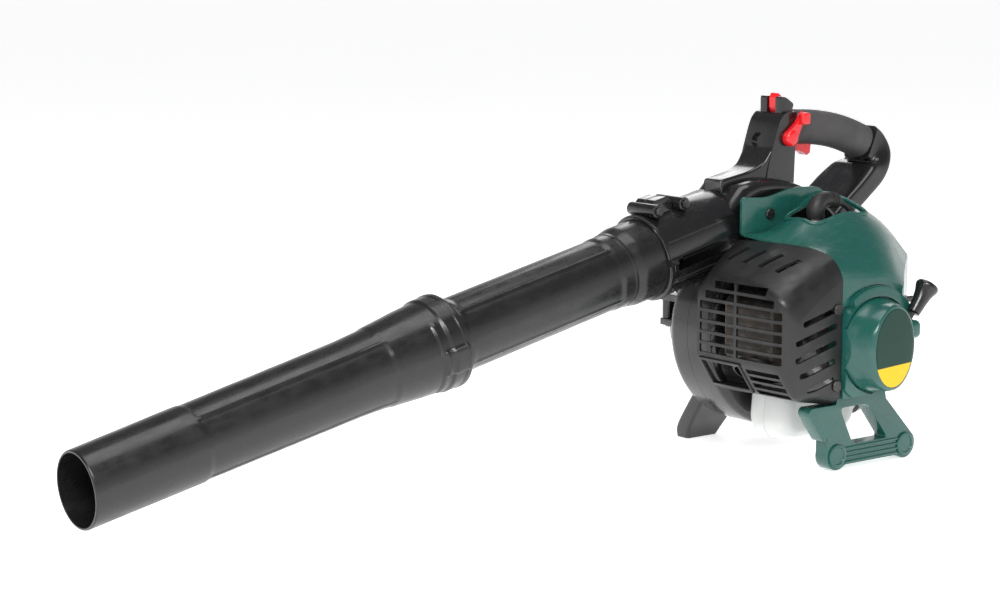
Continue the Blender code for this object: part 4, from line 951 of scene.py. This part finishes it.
def make_starter_housing():
    panel = plate("starter_housing_moulded", [starter_panel(0)], COVER_SIDE - 2, COVER_SIDE + 2.5, 0.9)
    stations = [(COVER_SIDE + 1, BOSS_RADIUS, BOSS_RADIUS, 0), (COVER_SIDE - 3, 45.6, 45.8, 0),
                (COVER_SIDE - 8, 43.6, 44.6, 0.5), (-174, 40.4, 43.4, 2.6), (-180, 38, 42.5, 5),
                (-185, 35.8, 41.2, 8.5), (-187.2, 34, 40.2, LABEL_YAW),
                (LABEL_FACE, 32.4, 38.4, LABEL_YAW)]
    join(panel, loft("boss", [oval(*station) for station in spun(stations, 4)]))
    ledge = [(57, 0), (57, 3.4), (55.4, 4.4), (47, 4.4), (BOSS_RADIUS, 0)]
    ledge = turned("boss_ledge", ledge, (CRANK_X, COVER_SIDE - 1, CRANK_Z), TOWARDS_NEAR, 144, closed=True)
    keep = plate("boss_ledge_room", [starter_panel(-0.6)], COVER_SIDE - 12, COVER_SIDE + 4)
    combined(ledge, [keep], "INTERSECT")
    join(panel, ledge)
    join(panel, cross_rod("starter_skirt", CRANK_X, CRANK_Z, COVER_SIDE, -137.5, 40, 96))
    inside = [oval(-130, 38.4, 38.4), oval(COVER_SIDE, 38.4, 38.4), oval(-178, 35, 38.4, 5),
              oval(-182.5, LABEL_HALF_WIDTH, LABEL_RADIUS - 1, LABEL_YAW)]
    cut(panel, loft("boss_hollow", inside))
    join(panel, cross_rod("spring_post", CRANK_X, CRANK_Z, -143, -184, 4.5))
    join(panel, box("rope_guide", (44, -178, 122), (61, -160, 140), 6, 6))
    recess = [oval(y, LABEL_HALF_WIDTH + GAP, LABEL_RADIUS + GAP, LABEL_YAW)
              for y in (LABEL_FACE - 5, LABEL_FACE + 1.2)]
    cut(panel, loft("label_recess", recess))
    guard_clearance = box("guard_clearance", (-80, -200, 40), (boundary_x(COVER_SIDE) + 0.8, -100, 200))
    cut(panel, guard_clearance, rod("rope_hole", rope_point(-1), rope_point(57), 3.2))
    dress(panel, "green_plastic", "starter_housing")


def make_label():
    steps = ((0.9, 0), (0.2, 0), (0, 0.35), (-0.05, 2), (-0.05, 16), (-0.05, 30))
    label = [oval(LABEL_FACE + y, LABEL_HALF_WIDTH - inset, LABEL_RADIUS - inset, LABEL_YAW)
             for y, inset in steps]
    dress(loft("oval_label", label), "label_film", "label_disc")


def make_starter_pull():
    route = [tuple(rope_point(4 + 32 * i / 12)) for i in range(13)]
    rope = hose("starter_rope_braided", route, 1.9, 2, 20)
    dress(rope, "rope", "starter_rope", body=None)
    axis = rope_point(1) - rope_point(0)
    profile = [(0, 70), (5, 70), (8, 69.4), (10.6, 68.2), (11.5, 66.4), (11.2, 64), (9.6, 60),
               (8.5, 56), (7.6, 50), (7, 44), (6.6, 40), (6.2, 36.6), (5.8, 36.3), (0, 36.3)]
    handle = turned("starter_handle_moulded", profile, rope_point(0), axis, 72)
    dress(handle, "black_plastic", "starter_handle", "starter_handle")
    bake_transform(rope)


# ---- stand, tank and handle

def make_stand():
    left, right, end_radius = -26, 67, 14
    outline = rounded([(-28.5, 63.6), (-62, 63.6), (-65, 58), (-42, 26)], [0, 3, 4, 8], 5)
    outline += arc(left, end_radius, end_radius, 165, 300, 24)
    outline += [(left + 12, 4), (right - 12, 4)] + arc(right, end_radius, end_radius, 240, 390, 24)
    outline += [(40, 62), (38, 70), (-27, 70)]
    window = rounded([(-23, 60), (-5, 23), (43, 23), (14, 60)], [6] * 4, 6)
    stand = plate("stand_frame_moulded", [outline, window], -152, -137, 2, 4)
    trims = []
    for x in (left, right):
        disc = [(0, 0), (11, 0), (11.4, 0.8), (11.4, 1.8), (10.6, 2.4), (8.6, 2.4), (8, 1.4),
                (0, 1.4)]
        centre = (x, -151.6, end_radius)
        trims.append(turned(f"stand_disc_{x:.0f}", disc, centre, TOWARDS_NEAR, 72))
    for number in range(4):
        z = 5.2 + 4.6 * number
        trims.append(box(f"stand_rib_{number}", (-16, -153.4, z), (57, -151, z + 2.4), 0.9, 3))
    join(stand, *trims)
    dress(stand, "green_plastic", "stand_frame")


def make_tank():
    widths = [(-44, 38), (-46, 43), (-54, 49), (-70, 50), (-86, 48), (-95, 42),
              (-98, 35)]
    upper, lower = 13, 19
    rings = []
    for y, half in spun(widths, 5):
        inset = 50 - half
        low, high, left, right = 18 + inset, 62 - inset * 0.6, -45 + inset, 62 - inset
        ring = arc(right - upper, high - 6, upper, 28, 90, 8)
        ring += arc(left + upper, high - 6, upper, 90, 152, 8)
        ring += arc(left + lower, low + lower, lower, 180, 270, 14)
        ring += arc(right - lower, low + lower, lower, 270, 360, 14)
        rings.append([(x, y, z) for x, z in ring])
    tank = loft("fuel_tank_moulded", rings)
    join(tank, rod("tank_neck", (50, -72, 42), (68, -72, 47), 13, 72))
    seam = [[(CRANK_X + (x - CRANK_X) * 1.012, y, 38 + (z - 38) * 1.03) for x, _, z in rings[len(rings) // 2]]
            for y in (-71.2, -68.8)]
    join(tank, loft("tank_seam", seam))
    cut(tank, rod("tank_opening", (46, -72, 41), (80, -72, 50.2), 10, 64))
    dress(tank, "tank_plastic", "fuel_tank")


def make_post():
    """The upright post with the ledge that flares out of its foot."""
    outline = [(-1, 240), (3, 272), (8, 290), (17, 317), (21, 325), (28, 331),
               (42.4, 331), (42.4, 312), (41, 296), (39, 240)]
    outline = rounded(outline, [0, 20, 16, 8, 6, 6, 2, 6, 10, 0], 6)
    post = plate("handle_post_moulded", [outline], -POST_HALF, POST_HALF, 4.2, 6)
    stations = [(-50.5, 265.5, 11.5), (-49, 268, 13), (-30, 271.6, 14), (-16, 274.6, 15.5),
                (-5, 279, 17.5), (1, 283.5, 19), (6, 290, 20), (12, 299, 20.4)]
    rings = []
    for x, top, half in spun(stations, 5):
        ring = rounded([(-half, 240), (half, 240), (half, top), (-half, top)], [0, 0, 3.5, 3.5], 5)
        rings.append([(x, y, z) for y, z in ring])
    join(post, loft("post_ledge", rings))
    ridge = [(6.4, 284), (15.2, 311), (18, 311), (18, 284)]
    return join(post, plate("post_ridge", [ridge], -1.1, 1.1, 0.5, 2))


def make_handle():
    post = make_post()
    ear = [(27, 326), (27, 346), (33, 345), (44, 338), (42.2, 333.5), (42.2, 326)]
    ear = rounded(ear, [0, 3, 4, 3, 1, 0], 5)
    for low in (-15, 6):
        join(post, plate(f"switch_ear_{low:.0f}", [ear], low, low + 9, 1.2))
    cut(post, box("switch_well", (28.2, -6.2, 322), (41.4, 6.2, 350)),
        rod("front_recess", (2, 4, 306), (16, 4, 302), 7.5))
    cut(post, scroll_solid("housing_fit_post", GAP), spout_solid("spout_fit_post", GAP, GAP))
    cut(post, cross_rod("lever_bore", LEVER_X, LEVER_Z, -30, -12, 4.3))
    dress(post, "black_plastic", "handle_post")
    make_grip()
    make_rear_arm()


GRIP_PATH = ((43, 313.5, 0), (62, 313.3, -1), (88, 311.5, -6), (114, 307, -13),
             (136, 300.5, -19), (155, 293, -24))


def grip_rings(half_height, half_width, swell=0):
    rings = []
    path = spun(GRIP_PATH, 8)
    for number, (x, z, direction) in enumerate(path):
        t = number / (len(path) - 1)
        swollen = 1 + swell * sin(pi * t) - 0.05 * (1 - bump_between(t, -0.02, 1.02, 0.05))
        rings.append(section((x, z), direction, half_height * swollen, half_width * swollen, 72, 2.3))
    return rings


def make_grip():
    outer, inner = grip_rings(17.5, 16.5), grip_rings(13.3, 12.3)
    sleeve = loft("grip_sleeve_moulded", outer + inner[::-1], closed=True)
    cut(sleeve, box("trigger_slot", (46, -6, 270), (80, 6, 309)))
    dress(sleeve, "grip_rubber", "grip_sleeve")


def make_rear_arm():
    stations = [(155.5, 292.8, -24, 18.5, 17.5), (163, 287.5, -36, 17, 18.5),
                (165, 277, -74, 14, 24), (152, 263, -124, 12, 31),
                (131, 248, -145, 11, 34), (107, 230, -144, 11, 34),
                (83, 210, -140, 11, 34)]
    rings = [section((x, z), d, h, w, 120, 7) for x, z, d, h, w in spun(stations, 7)]
    arm = loft("handle_rear_arm_moulded", rings)
    cut(arm, scroll_solid("housing_fit_arm", GAP), spout_solid("spout_fit_arm", GAP, GAP))
    dress(arm, "black_plastic", "handle_rear_arm")


def make_cruise_lever():
    near = -POST_HALF - GAP
    outline = arc(LEVER_X, LEVER_Z, 8.2, 110, 340, 24)
    outline += [(44, 315), (51, 325), (46, 331), (38, 320)]
    lever = plate("cruise_lever_moulded", [outline], near - 5, near, 1.4, 4)
    dome = [(0, 0), (8, 0), (8, 5), (7.2, 6.6), (5.2, 7.6), (2.4, 8), (0, 8.1)]
    dome = turned("lever_dome", dome, (LEVER_X, near - 0.2, LEVER_Z), TOWARDS_NEAR, 72)
    tab = box("lever_tab", (40.4, near - 11, 318), (51.6, near - 3, 330), 2.6, 4)
    join(lever, dome, tab, cross_rod("lever_pivot", LEVER_X, LEVER_Z, near - 3, -14, 4))
    dress(lever, "red_plastic", "cruise_lever", "cruise_lever")


def make_plug_lead():
    top = 232.3
    path = spun([(CRANK_X, top, 90, 8.5), (CRANK_X, top + 9, 84, 9), (17, top + 16, 40, 8.5),
                 (27, top + 17, 0, 7.5), (42, top + 14, -12, 6)], 8)
    rings = [[p + Vector((0, PLUG_Y, 0)) for p in section((x, z), d, r, r, 48, 2)] for x, z, d, r in path]
    boot = loft("spark_plug_boot_moulded", rings)
    collars = []
    for number in range(3):
        start = (31 + 3.4 * number, PLUG_Y, top + 16.6 - 0.8 * number)
        end = (32.8 + 3.4 * number, PLUG_Y, top + 16.2 - 0.8 * number)
        collars.append(rod(f"boot_ring_{number}", start, end, 7.9 - 0.3 * number, round_edges=0.5))
    join(boot, *collars)
    cut(boot, rod("boot_socket", (CRANK_X, PLUG_Y, top - 5), (CRANK_X, PLUG_Y, top + 13.3), 4.9))
    dress(boot, "lead_rubber", "spark_plug_boot")
    route = ((42.6, PLUG_Y, 245.3), (51, -81, 242), (58, -84, 233), (60, -90, 222),
             (62, -100, 205), (62, -108, 180), (66, -112, 150))
    dress(hose("ignition_lead_wire", route, 2.6, 10, 28), "lead_rubber", "ignition_lead")


# ---- camera, light and floor

def carry_over():
    """Procedural materials on every CAD node that stays in view."""
    for node in NODES.values():
        for index, slot in enumerate(node.material_slots):
            name = slot.material.name.split(".")[0] if slot.material else "black_plastic"
            slot.material = MATERIALS.get(name, MATERIALS["black_plastic"])
            if "screw" in node.name:
                slot.material = MATERIALS["black_screw"]


def add_camera():
    azimuth, elevation, distance = radians(-38.0), radians(8.8), 2.5
    back = Vector((sin(azimuth) * cos(elevation), -cos(azimuth) * cos(elevation),
                   sin(elevation)))
    right = Vector((cos(azimuth), sin(azimuth), 0.0))
    up = back.cross(right)
    across, rise = 0.0992, -0.0084
    camera = linked("camera", bpy.data.cameras.new("camera"))
    centre = point(0.0, 0.0, 124.0) - (right * across + up * rise - back) * distance
    camera.matrix_world = Matrix.Translation(centre) @ Matrix((right, up, back)).transposed().to_4x4()
    camera.data.lens = 90.0
    camera.data.sensor_width = 36.0
    camera.data.clip_end = 30.0
    bpy.context.scene.camera = camera


def add_light(name, place, target, size, energy, size_y=None):
    lamp = bpy.data.lights.new(name, "AREA")
    lamp.energy = energy
    lamp.shape = "RECTANGLE"
    lamp.size = size
    lamp.size_y = size_y or size
    made = linked(name, lamp)
    made.location = Vector(place)
    made.rotation_mode = "QUATERNION"
    made.rotation_quaternion = (Vector(place) - Vector(target)).to_track_quat("Z", "Y")


def studio_world():
    """Bright round the horizon and darker overhead, so that glossy faces show contrast."""
    world = bpy.data.worlds.new("studio")
    world.use_nodes = True
    tree = world.node_tree
    split = tree.nodes.new("ShaderNodeSeparateXYZ")
    sky = tree.nodes.new("ShaderNodeValToRGB")
    low, high = sky.color_ramp.elements
    low.position, low.color = 0.14, (1.0, 1.0, 1.0, 1.0)
    high.position, high.color = 0.5, (0.16, 0.16, 0.17, 1.0)
    direction = tree.nodes.new("ShaderNodeTexCoord").outputs["Generated"]
    feed(tree, split, {"Vector": direction})
    feed(tree, sky, {"Fac": split.outputs["Z"]})
    feed(tree, tree.nodes["Background"], {"Color": sky.outputs["Color"], "Strength": 1.0})
    bpy.context.scene.world = world


def add_studio():
    target = (0.1, 0.0, 0.18)
    add_light("key", (-1.5, -1.6, 2.2), target, 0.9, 30.0)
    add_light("top", (0.1, 0.0, 2.6), target, 1.6, 20.0)
    add_light("rear_fill", (1.8, 1.6, 1.6), target, 1.2, 12.0)
    add_light("strip", (-1.0, -1.0, 1.5), (-0.1, 0.0, 0.2), 2.2, 16.0, 0.25)
    studio_world()
    mesh_data = bmesh.new()
    bmesh.ops.create_grid(mesh_data, x_segments=24, y_segments=24, size=14.0)
    mesh = bpy.data.meshes.new("floor")
    mesh_data.to_mesh(mesh)
    mesh_data.free()
    floor = linked("floor", mesh)
    floor.location = (0.0, 0.0, -0.0005)
    finish = Finish("studio_floor", (0.93, 0.93, 0.93), 0.8)
    finish.vary_colour(finish.noise(1.5, 3.0), (0.96, 0.96, 0.96), 1.0)
    finish.bump(finish.noise(90.0, 4.0), 0.08, 0.0004)
    finish.set(Emission_Color=(1.0, 1.0, 1.0, 1.0), Emission_Strength=0.66)
    mesh.materials.append(finish.material)
    bpy.context.scene.view_settings.view_transform = "Standard"


carry_over()
add_camera()
add_studio()
make_tubes()
make_fan_housings()
make_guard()
make_shroud()
make_starter_housing()
make_label()
make_starter_pull()
make_stand()
make_tank()
make_handle()
make_cruise_lever()
make_plug_lead()
